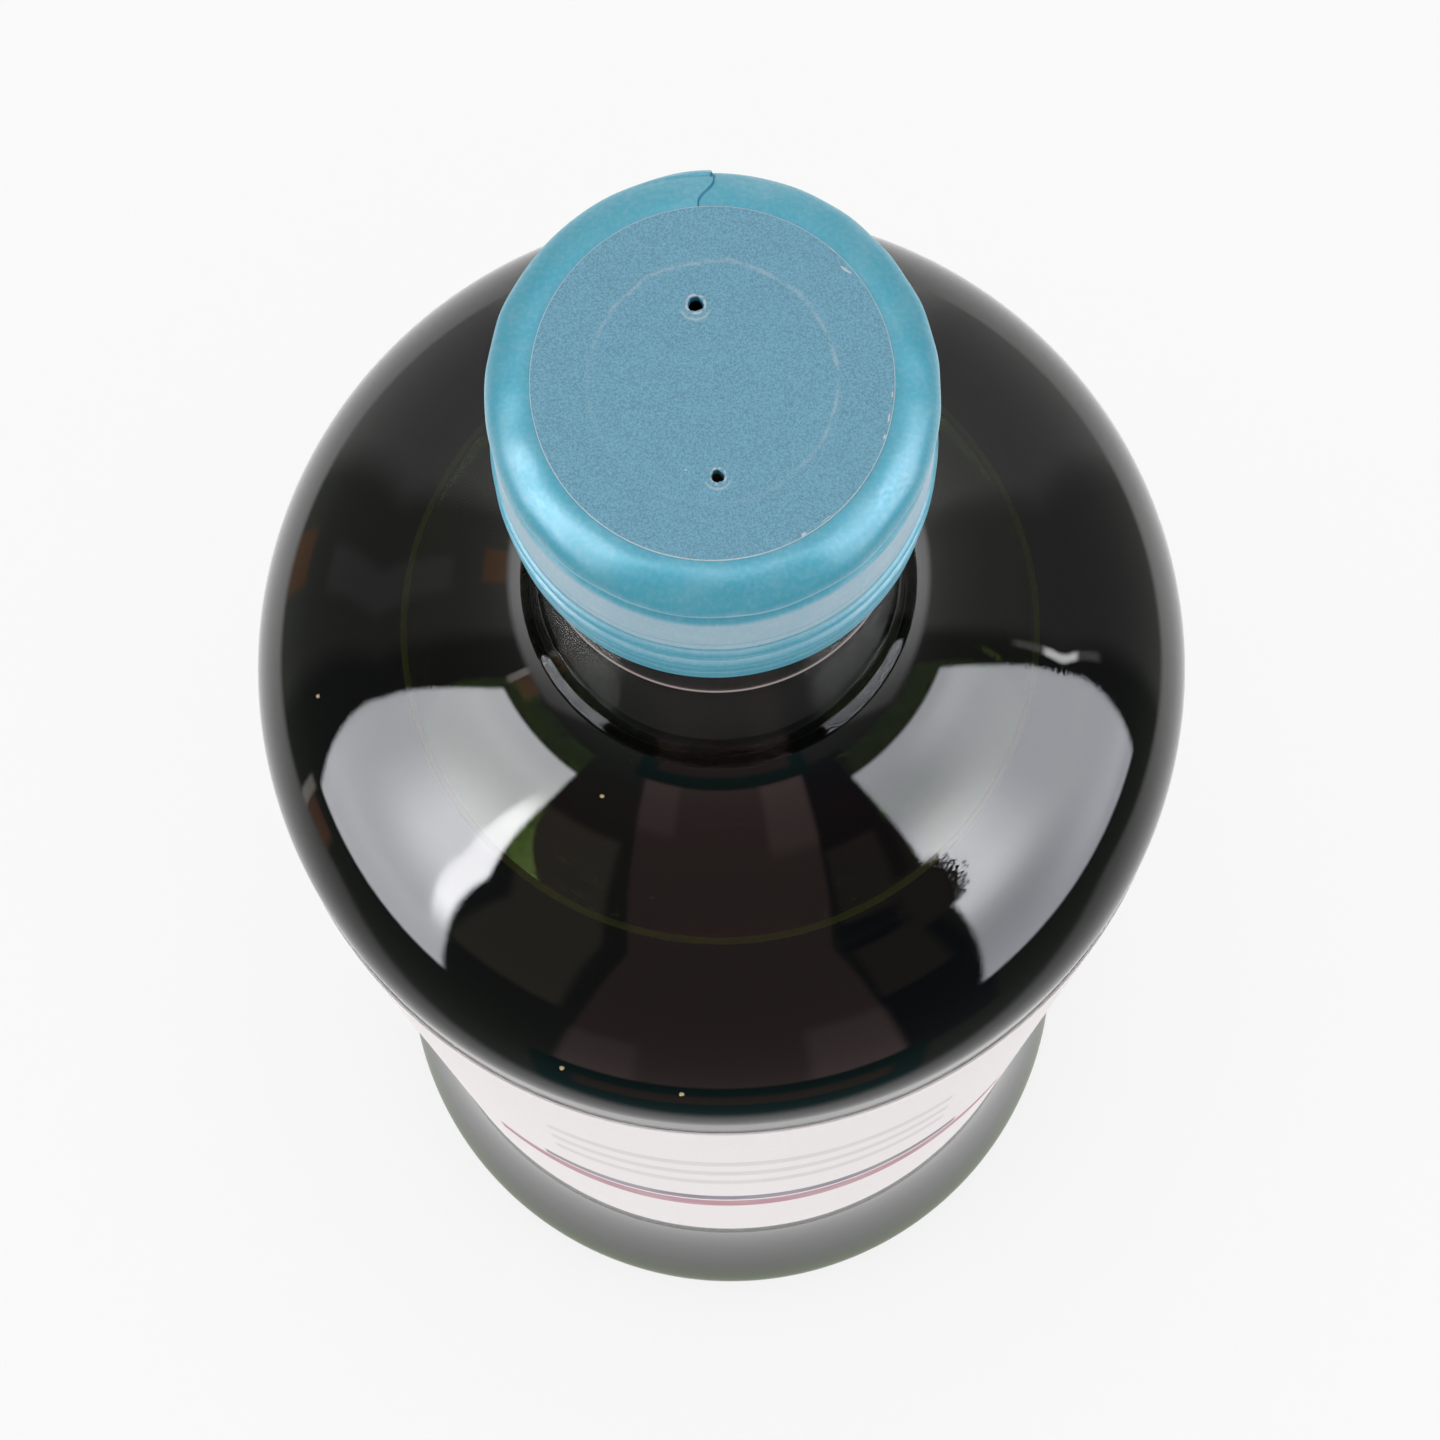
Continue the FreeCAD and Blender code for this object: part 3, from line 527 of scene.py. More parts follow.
def hollow_outline(size, reach):
    """The hollow from its floor's middle up to the flare, and the flare, drawn larger by reach."""
    shoulder = (size.shoulder_radius - size.shoulder_round, size.shoulder_level)
    shoulder_arc = size.shoulder_round - size.glass_wall + reach
    bore = size.bore_radius + reach
    bore_level = size.shoulder_level + size.flare_rise - size.bore_drop
    crown = size.floor_crown - reach
    heel_arc = size.inner_heel_round + reach
    heel = (size.inner_foot_radius - size.inner_heel_round,
            size.floor_wall + size.inner_heel_round)
    flare, flare_arc, meets = flare_above(shoulder, shoulder_arc, bore, bore_level)
    drop = crown - heel[1]
    run, rise = shoulder[0] - heel[0], shoulder[1] - heel[1]
    lean = math.atan2(run, rise) + math.asin((shoulder_arc - heel_arc) / math.hypot(run, rise))
    floor = []
    if abs(heel_arc + drop) > 0.01 * MM:
        floor_arc = (heel[0] ** 2 + drop ** 2 - heel_arc ** 2) / (2 * (heel_arc + drop))
        floor_centre = (0.0, crown - floor_arc)
        floor_end = math.atan2(heel[1] - floor_centre[1], heel[0])
        floor = arc(floor_centre, floor_arc, math.pi / 2, floor_end, 18)
    wall_foot = (heel[0] + heel_arc * math.cos(-lean), heel[1] + heel_arc * math.sin(-lean))
    wall_head = (shoulder[0] + shoulder_arc * math.cos(-lean),
                 shoulder[1] + shoulder_arc * math.sin(-lean))
    below = (floor + arc(heel, heel_arc, math.pi + floor_end, math.tau - lean, 14)
             + straight(wall_foot, wall_head, 6)
             + arc(shoulder, shoulder_arc, -lean, meets, 48))
    return below, flare, flare_arc, math.pi + meets


def drink_edge(size, reach):
    """Middle of the rounded edge of the drink, and the angle at which it touches the flare."""
    flare, flare_arc = hollow_outline(size, reach)[1:3]
    level = DRINK_LEVEL + size.meniscus
    away = flare_arc + size.meniscus
    across = flare[0] - math.sqrt(away ** 2 - (level - flare[1]) ** 2)
    touch = math.atan2(level - flare[1], across - flare[0]) % math.tau
    return (across, level), touch


def glass_outline(size):
    """The glass from the middle of its base, up its outside, over the lip and down its inside."""
    heel, waist, dip, lean, wall_foot = outer_wall(size)
    shoulder, flare, flare_arc, meets = outer_flare(size)
    neck_root = size.neck_radius - size.neck_proud
    neck_level = flare[1]
    punt_arc = (size.punt_radius ** 2 + size.punt_depth ** 2) / (2 * size.punt_depth)
    punt = (0.0, size.punt_depth - punt_arc)
    seam = neck_level + size.seam_rise
    finish_level = LIP_LEVEL - size.finish_length
    finish = size.neck_radius + size.finish_proud
    lip = (finish - size.lip_round, LIP_LEVEL - size.lip_round)
    wall_head = (shoulder[0] + size.shoulder_round * math.cos(lean),
                 shoulder[1] - size.shoulder_round * math.sin(lean))
    neck = size.neck_radius
    half = size.seam_half
    soft = 0.5 * MM
    outside = (
        arc(punt, punt_arc, math.pi / 2, math.atan2(-punt[1], size.punt_radius), 16)
        + straight((size.punt_radius, 0.0), (heel[0], 0.0), 4)
        + arc(heel, size.heel_round, -math.pi / 2, dip, 16)
        + arc(waist, size.waist_round, math.pi + dip, math.pi - lean, 24)
        + straight(wall_foot, wall_head, 10)
        + arc(shoulder, size.shoulder_round, -lean, meets, 56)
        + arc(flare, flare_arc, math.pi + meets, math.pi, 48)
        + [(neck_root + 0.5 * size.neck_proud, neck_level + 0.3 * size.neck_step),
           (neck, neck_level + size.neck_step)]
        + straight((neck, neck_level + 2 * size.neck_step), (neck, seam - half), 5)
        + [(neck, seam - half), (neck + 0.7 * size.seam_proud, seam - 0.4 * half),
           (neck + size.seam_proud, seam), (neck + 0.7 * size.seam_proud, seam + 0.4 * half),
           (neck, seam + half)]
        + straight((neck, seam + 2 * half), (neck, finish_level - soft), 4)
        + [(neck, finish_level - soft), (neck + 0.3 * size.finish_proud, finish_level)]
        + straight((finish, finish_level + soft), (finish, lip[1]), 6)
        + arc(lip, size.lip_round, 0.0, math.pi / 2, 8))
    below, inner_flare, inner_arc, first = hollow_outline(size, 0.0)
    touch = drink_edge(size, size.drink_reach)[1]
    inside = (
        straight((size.bore_radius, LIP_LEVEL), (size.bore_radius, inner_flare[1]), 8)
        + arc(inner_flare, inner_arc, math.pi, touch, 30)
        + arc(inner_flare, inner_arc, touch, first, 8)
        + below[::-1])
    return thinned(outside + inside)


def drink_outline(size):
    """The whisky from its floor up the wall, round its edge and in to the middle of its surface."""
    below, flare, flare_arc, first = hollow_outline(size, size.drink_reach)
    edge, touch = drink_edge(size, size.drink_reach)
    return thinned(below + arc(flare, flare_arc, first, touch, 8)
                   + arc(edge, size.meniscus, touch - math.pi, -math.pi / 2, 10)
                   + straight((edge[0], DRINK_LEVEL), (0.0, DRINK_LEVEL), 16)
                   + [(0.0, DRINK_LEVEL)])


# ---- the glass and the drink ----

GLASS_IOR, DRINK_IOR = 1.52, 1.36
# How fast each darkens with depth. The neck's glass is thicker than its wall is drawn.
GLASS_DENSITY, NECK_DENSITY, DRINK_DENSITY = 480.0, 1600.0, 125.0
# How deep the slow waves of the glass's skin are.
WAVE_DEPTH = 0.04 * MM

# The glass's materials, in their order on the piece.
ON_WALL, ON_WET_WALL, ON_BORE, ON_SEAM, ON_NECK, ON_ROOT = range(6)


def is_wet(place, normal, size):
    """Whether a face of the glass's inside lies against the drink."""
    on_floor = normal[2] > 0.3 and place[2] < 0.5 * size.inner_foot_radius
    inside = outward(place, normal) < -0.02 or on_floor
    above_base = place[2] > size.floor_wall - 0.5 * MM
    return inside and above_base and place[2] < DRINK_LEVEL + size.meniscus


def glass_skin(place, normal, size):
    """Which of the glass's materials a face has."""
    neck_level = size.shoulder_level + size.flare_rise
    seam_level = neck_level + size.seam_rise
    if is_wet(place, normal, size):
        return ON_WET_WALL
    if outward(place, normal) < 0 and place[2] > neck_level - size.lining_drop:
        return ON_BORE
    if seam_level < place[2] < seam_level + size.seam_half:
        return ON_SEAM
    if place[2] > neck_level + 0.5 * size.neck_step:
        return ON_NECK
    return ON_ROOT if place[2] > neck_level - size.root_drop else ON_WALL


DUST = [
    # How far round from the front in degrees, towards +X, the level, and the width.
    (-20.2, 0.1916, 0.0005),
    (-4.8, 0.1916, 0.0005),
    (-80.8, 0.1975, 0.0004),
    (-30.9, 0.2086, 0.0004),
]


def outer_radius(size, level):
    """Radius of the glass's outside between the shoulder and the neck."""
    shoulder, flare, flare_arc, meets = outer_flare(size)
    if level < shoulder[1] + size.shoulder_round * math.sin(meets):
        return shoulder[0] + math.sqrt(size.shoulder_round ** 2 - (level - shoulder[1]) ** 2)
    return flare[0] - math.sqrt(flare_arc ** 2 - (level - flare[1]) ** 2)


def dust_speck(size, turn, level, width, chance):
    """One grain of dust: a squashed lump, half sunk in the glass's skin."""
    across = outer_radius(size, level)
    around = math.radians(turn)
    place = Vector((across * math.sin(around), -across * math.cos(around), level))
    bpy.ops.object.select_all(action="DESELECT")
    bpy.ops.mesh.primitive_ico_sphere_add(subdivisions=2, radius=width / 2, location=place)
    speck = settle(bpy.context.active_object)
    for vertex in speck.data.vertices:
        vertex.co = place + (vertex.co - place) * chance.uniform(0.6, 1.1)
    return speck


class MESH_OT_bottle_glass(bpy.types.Operator):
    """Turns up the dark glass bottle with its hollow"""

    bl_idname = "mesh.bottle_glass"
    bl_label = "Bottle glass"
    bl_options = {"REGISTER", "UNDO"}

    def execute(self, context):
        size = context.scene.bottle_sizes
        colours = context.scene.bottle_colours
        piece = turn_up("bottle_glass", glass_outline(size), GLASS_COLUMNS)
        materials = [
            # Soda-lime glass, blown: clear, dark with depth, and wavy in what it mirrors.
            clear_material("dark_bottle_glass", GLASS_IOR, colours.glass, GLASS_DENSITY, CLEAN,
                           WAVE_DEPTH),
            clear_material("dark_bottle_glass_wetted", GLASS_IOR, colours.glass, GLASS_DENSITY,
                           WETTED),
            # What fills the bore shows through the neck as a plain dark face: the stopper in there,
            # darkened with painted shade where little light reaches.
            dull_material("dark_bore", colours.bore_fill_and_shade, 0.9, 0.0),
            # The mould seam's bead is drawn as a pale matt line: a painted highlight for the light
            # the bead catches.
            dull_material("mould_seam_painted_highlight", colours.seam_painted_highlight, 0.45, 0.5),
            clear_material("dark_bottle_glass_neck", GLASS_IOR, colours.glass, NECK_DENSITY,
                           HANDLED),
            clear_material("dark_bottle_glass_thick", GLASS_IOR, colours.glass, NECK_DENSITY,
                           DRAWN),
        ]
        paint(piece, materials, lambda place, normal: glass_skin(place, normal, size))
        smooth(piece, 35)
        chance = random.Random(DUST_SEED)
        # House dust: matt and uneven, so its grains show as pale dots on the dark glass.
        dust = paper_material("settled_dust", colours.dust, 0.1 * MM, 0.05 * MM, 0.9, 0.3)
        specks = [dust_speck(size, *speck, chance) for speck in DUST]
        for speck in specks:
            speck.data.materials.append(dust)
        join(piece, specks)
        finish_piece(piece, "glass_bottle")
        return {"FINISHED"}


class MESH_OT_bottle_drink(bpy.types.Operator):
    """Fills the bottle with whisky up to its level"""

    bl_idname = "mesh.bottle_drink"
    bl_label = "Whisky"
    bl_options = {"REGISTER", "UNDO"}

    def execute(self, context):
        size = context.scene.bottle_sizes
        colours = context.scene.bottle_colours
        piece = turn_up("whisky_fill", drink_outline(size), DRINK_COLUMNS)
        materials = [
            # Whisky: as clear as water, and amber with depth.
            clear_material("whisky_surface", DRINK_IOR, colours.drink, DRINK_DENSITY, CLEAN),
            clear_material("whisky_at_the_wall", DRINK_IOR, colours.drink, DRINK_DENSITY, WETTED),
            # The drink's curved edge shows through the glass as a fine matt ring: a painted
            # highlight for the light the edge gathers.
            dull_material("whisky_edge_painted_highlight", colours.meniscus, 0.6, 0.0),
        ]
        on_surface, at_wall, on_edge = range(3)
        edge = drink_edge(size, size.drink_reach)[0]

        def skin(place, normal):
            if place[2] < DRINK_LEVEL - 0.02 * MM:
                return at_wall
            return on_surface if radius_of(place) < edge[0] + 0.01 * MM else on_edge

        paint(piece, materials, skin)
        smooth(piece, 50)
        finish_piece(piece, "whisky")
        return {"FINISHED"}


# ---- the capsule ----


def bead_points(side, level, half, proud):
    """A fine rounded ring on an upright side, from its top down."""
    return [(side, level + half), (side + 0.45 * proud, level + 0.62 * half),
            (side + 0.9 * proud, level + 0.25 * half), (side + proud, level),
            (side + 0.9 * proud, level - 0.25 * half),
            (side + 0.45 * proud, level - 0.62 * half), (side, level - half)]


def capsule_outline(size, bottle):
    """The capsule from the middle of its top, over its rim, down its side and up its inside."""
    top = DISC_LOW[2]
    side = size.capsule_radius
    rim = (side - size.rim_round, top - size.rim_round)
    groove_top = top - size.groove_drop
    groove_foot = groove_top - size.groove_height
    root = side - size.groove_depth
    inside = side - size.capsule_wall
    inner_round = bottle.lip_round + 0.1 * MM
    inner = (inside - inner_round, LIP_LEVEL - inner_round)
    upper = top - size.ridge_drop
    lower = upper - size.ridge_spacing
    soft = 0.25 * MM
    outside = (
        straight((0.0, top), (rim[0], top), 40)
        + arc(rim, size.rim_round, math.pi / 2, 0.0, 28)
        + [(side + 0.06 * MM, groove_top + 1.3 * soft), (side + 0.07 * MM, groove_top + 0.7 * soft),
           (side - 0.02 * MM, groove_top), (root, groove_top - soft)]
        + straight((root, groove_top - 2 * soft), (root, groove_foot + 2 * soft), 4)
        + [(root, groove_foot + 2 * soft), (root + 0.3 * size.groove_depth, groove_foot + soft),
           (root + 0.7 * size.groove_depth, groove_foot), (side, groove_foot - soft)]
        + straight((side, groove_foot - 2 * soft), (side, upper + 2 * size.ridge_half), 8)
        + bead_points(side, upper, size.ridge_half, size.ridge_proud)
        + straight((side, upper - 1.5 * size.ridge_half), (side, lower + 1.5 * size.ridge_half), 4)
        + bead_points(side, lower, size.ridge_half, size.ridge_proud)
        + straight((side, lower - 2 * size.ridge_half), (side, SKIRT_LEVEL + 0.15 * MM), 8)
        + [(side, SKIRT_LEVEL + 0.15 * MM), (side - 0.12 * MM, SKIRT_LEVEL),
           (inside + 0.1 * MM, SKIRT_LEVEL), (inside, SKIRT_LEVEL + 0.1 * MM)])
    within = (straight((inside, SKIRT_LEVEL + MM), (inside, inner[1]), 8)
              + arc(inner, inner_round, 0.0, math.pi / 2, 8)
              + straight((inner[0] - MM, LIP_LEVEL), (0.0, LIP_LEVEL), 6) + [(0.0, LIP_LEVEL)])
    return thinned(outside + within)


def seam_angle(across, level):
    """Where the lapped seam's edge runs, in radians round the axis: an S over the rim."""
    sideways = (-0.95 + 1.1 * ease(13.3, 15.0, across / MM) - 0.15 * ease(15.2, 16.2, across / MM)
                + 0.08 * math.sin(level / (3.5 * MM))) * MM
    return math.pi / 2 - sideways / max(across, 8 * MM)


def lap_seam(piece, size, columns):
    """Lifts the film on one side of the seam, and draws the mesh's columns along the seam."""
    spacing = math.tau / columns
    lap = math.radians(26)
    drawn_columns = 9
    for vertex in piece.data.vertices:
        place = vertex.co
        across = radius_of(place)
        inside = across < size.capsule_radius - 0.8 * size.capsule_wall
        if across < 11 * MM or (inside and place[2] < LIP_LEVEL + 0.1 * MM):
            continue
        around = math.atan2(place[1], place[0])
        column = round((around - math.pi / 2) / spacing - 0.5)
        away = abs(column + 0.5) - 0.5
        target = seam_angle(across, place[2])
        gap = 0.06 * MM / across
        slide = math.exp(-(away / drawn_columns) ** 2)
        snug = (1 if column >= 0 else -1) * gap
        if away < 0.1:
            around = target + snug
        else:
            around += (target - math.pi / 2) * slide
        past = around - target
        skin = across > size.capsule_radius - size.capsule_wall * 0.75
        over = place[2] > rim_level(size)
        lift = 0.0
        if 0 < past < lap and (skin or over):
            lift = size.lap_thickness * (1 - ease(0.0, lap, past))
        # On the side the step goes straight out, and over the rim it goes up as well.
        out, up = (0.6, 0.8) if over else (1.0, 0.0)
        across += out * lift
        vertex.co = (across * math.cos(around), across * math.sin(around), place[2] + up * lift)


def on_shaded_step(place, normal):
    """1 for the narrow faces of the lapped seam's step, which carry painted shade."""
    across = radius_of(place)
    if across < 12.9 * MM:
        return 0
    away = math.atan2(place[1], place[0]) - seam_angle(across, place[2])
    return 1 if abs(away) * across < 0.12 * MM else 0


def rim_level(size):
    """The level from which the capsule's side turns in over its rim."""
    return DISC_LOW[2] - 0.6 * size.rim_round


DENT_WAVES = 14


def uneven(piece, amount, wave, seed, keep):
    """Presses slow dents into a piece along its normals, more where keep() is near 1."""
    chance = random.Random(seed)
    waves = [(Vector([chance.gauss(0, 1) for axis in range(3)]).normalized(),
              chance.uniform(0.7, 1.5) * math.tau / wave, chance.uniform(0, math.tau))
             for count in range(DENT_WAVES)]
    moves = []
    for vertex in piece.data.vertices:
        total = sum(math.sin(vertex.co.dot(way) * rate + start) for way, rate, start in waves)
        moves.append(vertex.normal * (total / len(waves) * 2 * amount * keep(vertex.co)))
    for vertex, move in zip(piece.data.vertices, moves):
        vertex.co += move


def dented(place):
    """How much the film dents: not at all on its flat top, and most round its rim."""
    off_top = ease(12 * MM, 14.5 * MM, radius_of(place))
    return off_top * (0.2 + 0.8 * ease(DISC_LOW[2] - 7 * MM, DISC_LOW[2] - 3 * MM, place[2]))


VENTS = [
    # Each vent hole: its middle and its radius, as the frame has them.
    ((-1.2 * MM, 5.7 * MM), 0.6 * MM),
    ((0.4 * MM, -6.9 * MM), 0.5 * MM),
]


def vent_cutters(chance):
    """Ragged plugs that punch the two vent holes."""
    cutters = []
    for middle, radius in VENTS:
        bpy.ops.object.select_all(action="DESELECT")
        bpy.ops.mesh.primitive_circle_add(vertices=18, radius=radius, fill_type="NGON",
                                          location=(*middle, DISC_LOW[2] - 2 * MM))
        cutter = settle(bpy.context.active_object)
        for vertex in cutter.data.vertices:
            from_middle = Vector((vertex.co[0] - middle[0], vertex.co[1] - middle[1]))
            around = math.atan2(from_middle[1], from_middle[0])
            torn = 0.97 + 0.07 * math.cos(3 * around + 0.8) + chance.uniform(-0.1, 0.07)
            vertex.co[0] = middle[0] + from_middle[0] * torn
            vertex.co[1] = middle[1] + from_middle[1] * torn
        bpy.ops.object.mode_set(mode="EDIT")
        bpy.ops.mesh.select_all(action="SELECT")
        bpy.ops.mesh.extrude_region_move(TRANSFORM_OT_translate={"value": (0.0, 0.0, 4 * MM)})
        bpy.ops.mesh.select_all(action="SELECT")
        bpy.ops.mesh.normals_make_consistent(inside=False)
        bpy.ops.object.mode_set(mode="OBJECT")
        cutters.append(cutter)
    return cutters


def punch_vents(piece, seed):
    """Cuts both vent holes through a piece."""
    for cutter in vent_cutters(random.Random(seed)):
        apply_modifier(piece, "BOOLEAN", operation="DIFFERENCE", solver="EXACT", object=cutter)
        only(cutter)
        bpy.ops.object.delete()


class MESH_OT_bottle_capsule(bpy.types.Operator):
    """Shrinks the printed capsule over the neck"""

    bl_idname = "mesh.bottle_capsule"
    bl_label = "Capsule"
    bl_options = {"REGISTER", "UNDO"}

    def execute(self, context):
        size = context.scene.cover_sizes
        # The first column starts half a column round, so that the seam falls between two.
        piece = turn_up("sealing_capsule", capsule_outline(size, context.scene.bottle_sizes),
                        CAPSULE_COLUMNS, math.tau, math.pi / CAPSULE_COLUMNS)
        uneven(piece, 0.07 * MM, 5 * MM, DENT_SEED, dented)
        lap_seam(piece, size, CAPSULE_COLUMNS)
        punch_vents(piece, VENT_SEED)
        colours = context.scene.bottle_colours
        # The lapped seam's step carries painted shade: the film's deep colour, less shiny.
        cut = dull_material("film_step_painted_shade", colours.film_deep_and_shaded, 0.5, 0.3)
        paint(piece, [film_material(colours), cut], on_shaded_step)
        smooth(piece, 40)
        finish_piece(piece, "capsule")
        return {"FINISHED"}


# ---- the paper disc ----


def disc_outline(size):
    """The disc from the middle of its face out to its bevelled edge and back underneath."""
    rim = DISC_HIGH[0]
    low, high = DISC_LOW[2], DISC_HIGH[2]
    face = straight((0.0, high), (rim - size.disc_edge, high), 66)
    return thinned(face + [(rim - size.disc_edge, high), (rim, high - size.disc_edge),
                           (rim, low + 0.05 * MM), (rim - 0.05 * MM, low)]
                   + straight((rim - MM, low), (0.0, low), 6) + [(0.0, low)])


def press_disc(piece, size):
    """Presses the broken ring into the disc's face and raises the torn lips of its holes."""
    half = 0.25 * MM
    for vertex in piece.data.vertices:
        place = vertex.co
        if place[2] < DISC_HIGH[2] - 0.01 * MM:
            continue
        around = math.atan2(place[1], place[0])
        from_ring = (radius_of(place) - size.ring_radius) / half
        strength = 0.55 + 0.45 * math.sin(2 * around + 0.6) * math.sin(3.3 * around)
        rise = -size.ring_depth * strength * math.exp(-from_ring ** 2)
        for middle, radius in VENTS:
            across, along = place[0] - middle[0], place[1] - middle[1]
            away = math.hypot(across, along)
            torn = 0.6 + 0.4 * math.sin(3 * math.atan2(along, across) + radius / MM)
            rise += 0.16 * MM * torn * math.exp(-((away - 1.1 * radius) / (0.22 * MM)) ** 2)
            front = ease(0.1, 0.9, -along / max(away, 0.01 * MM))
            rise += 0.07 * MM * front * math.exp(-((away - 2.1 * radius) / (0.17 * MM)) ** 2)
        vertex.co[2] += rise


CHIPS = [
    # Where print has flaked from the disc's edge: place, length, width and turn in degrees.
    ((9.52, 8.23), 1.1, 0.2, -32.0),
    ((8.56, 9.71), 0.7, 0.07, 138.0),
    ((12.78, -0.93), 0.55, 0.13, 86.0),
    ((12.52, -2.69), 0.9, 0.15, 78.0),
    ((12.22, -4.04), 0.4, 0.2, 71.0),
    ((8.05, -10.0), 0.9, 0.08, 39.0),
    ((6.49, -11.12), 0.45, 0.3, 30.0),
    ((-1.88, -6.44), 0.17, 0.13, 0.0),
]


def paper_chip(middle, long, wide, turn, chance):
    """One flake of bare paper: a thin ragged scale lying on the disc."""
    bpy.ops.object.select_all(action="DESELECT")
    level = DISC_HIGH[2] + 0.01 * MM
    bpy.ops.mesh.primitive_circle_add(vertices=11, radius=0.5 * MM, fill_type="NGON",
                                      location=(middle[0] * MM, middle[1] * MM, level))
    chip = bpy.context.active_object
    chip.scale = (long, wide, 1.0)
    chip.rotation_euler = (0.0, 0.0, math.radians(turn))
    settle(chip)
    centre = Vector((middle[0] * MM, middle[1] * MM, level))
    for vertex in chip.data.vertices:
        vertex.co = centre + (vertex.co - centre) * chance.uniform(0.6, 1.15)
    apply_modifier(chip, "SOLIDIFY", thickness=0.05 * MM, offset=0.0)
    return chip


def wear_print(tree, place, tone, size, core):
    """Print rubbed pale along the pressed ring, most at the back right, and round the holes."""
    parts = add_node(tree, "ShaderNodeSeparateXYZ", {}, (place,)).outputs
    flat = add_node(tree, "ShaderNodeCombineXYZ", {}, (parts["X"], parts["Y"]))
    across = add_node(tree, "ShaderNodeVectorMath", {"operation": "LENGTH"},
                      (flat,)).outputs["Value"]
    # The ring's line wavers by 0.7 mm.
    slow = add_node(tree, "ShaderNodeTexNoise", {},
                    {"Vector": place, "Scale": 1 / (2.5 * MM), "Detail": 2.0})
    shaken = add_node(tree, *TIMES_PLUS, (slow, 0.7 * MM, across))
    ring, half = size.ring_radius + 0.35 * MM, 0.12 * MM
    line = band(tree, shaken, ring - half, ring + half, 0.3 * MM)
    rightward = add_node(tree, *TIMES, (parts["X"], 0.55))
    backward = add_node(tree, *TIMES, (parts["Y"], 0.84))
    toward = add_node(tree, *PLUS, (rightward, backward))
    pressed = add_node(tree, *SOFT_STEP, (toward, -7 * MM, 6 * MM, 0.1, 0.42))
    # The rubbing is broken up at 1.2 mm, where the die touched only the high fibres.
    fibres = add_node(tree, "ShaderNodeTexNoise", {},
                      {"Vector": place, "Scale": 1 / (1.2 * MM), "Detail": 4.0, "Roughness": 0.7})
    broken = add_node(tree, *SOFT_STEP, (fibres, 0.3, 0.62, 0.0, 1.0))
    rubbed = add_node(tree, *TIMES, (add_node(tree, *TIMES, (line, pressed)), broken))
    # Each hole has a ragged pale lip, and below it a torn crease.
    grain = add_node(tree, "ShaderNodeTexNoise", {},
                     {"Vector": place, "Scale": 1 / (0.4 * MM), "Detail": 1.0})
    ragged = add_node(tree, *SOFT_STEP, (grain, 0.4, 0.6, 0.0, 1.0))
    for middle, radius in VENTS:
        away = add_node(tree, "ShaderNodeVectorMath", {"operation": "DISTANCE"},
                        (flat, (*middle, 0.0))).outputs["Value"]
        edge = band(tree, away, radius, radius + 0.16 * MM, 0.12 * MM, 0.95)
        crease = band(tree, away, 1.75 * radius, 2.0 * radius, 0.22 * MM, 0.6)
        lower = add_node(tree, *SOFT_STEP, (parts["Y"], middle[1] - 1.2 * radius,
                                            middle[1] - 0.5 * radius, 1.0, 0.0))
        lip = add_node(tree, *TIMES, (ragged, edge))
        torn = add_node(tree, *TIMES, (crease, lower))
        for wear in (lip, torn):
            rubbed = add_node(tree, *LARGER, (rubbed, wear))
    return add_node(tree, *COLOUR_MIX, {MIX_FACTOR: rubbed, MIX_A: tone,
                                        MIX_B: opaque(core)}).outputs[MIX_RESULT]


class MESH_OT_bottle_disc(bpy.types.Operator):
    """Lays the punched paper disc on the capsule's top"""

    bl_idname = "mesh.bottle_disc"
    bl_label = "Paper disc"
    bl_options = {"REGISTER", "UNDO"}

    def execute(self, context):
        size = context.scene.cover_sizes
        colours = context.scene.bottle_colours
        piece = turn_up("top_disc_paper", disc_outline(size), DISC_COLUMNS)
        press_disc(piece, size)
        punch_vents(piece, VENT_SEED)

        def worn(tree, place, tone):
            return wear_print(tree, place, tone, size, colours.core)

        # Uncoated paper printed in one colour: matt, with its fibres showing in the ink.
        face = paper_material("printed_paper", colours.disc, 0.14 * MM, 0.03 * MM, 0.6, 0.32,
                              worn)
        # The inside of the same paper: paler and quite matt.
        core = paper_material("bare_paper_core", colours.core, 0.15 * MM, 0.02 * MM, 0.85, 0.08)
        rim = DISC_HIGH[0] - size.disc_edge
        paint(piece, [face, core],
              lambda place, normal: 1 if radius_of(place) > rim - 0.01 * MM else 0)
        smooth(piece, 40)
        chance = random.Random(CHIP_SEED)
        chips = [paper_chip(*chip, chance) for chip in CHIPS]
        for chip in chips:
            chip.data.materials.append(core)
        join(piece, chips)
        finish_piece(piece, "top_disc")
        return {"FINISHED"}


# ---- the label ----


def label_low_radius(bottle, size, low):
    """Outer radius of the label at its lower edge."""
    lean, foot = outer_wall(bottle)[3:]
    return foot[0] + (low - foot[1]) * math.tan(lean) + size.label_thickness


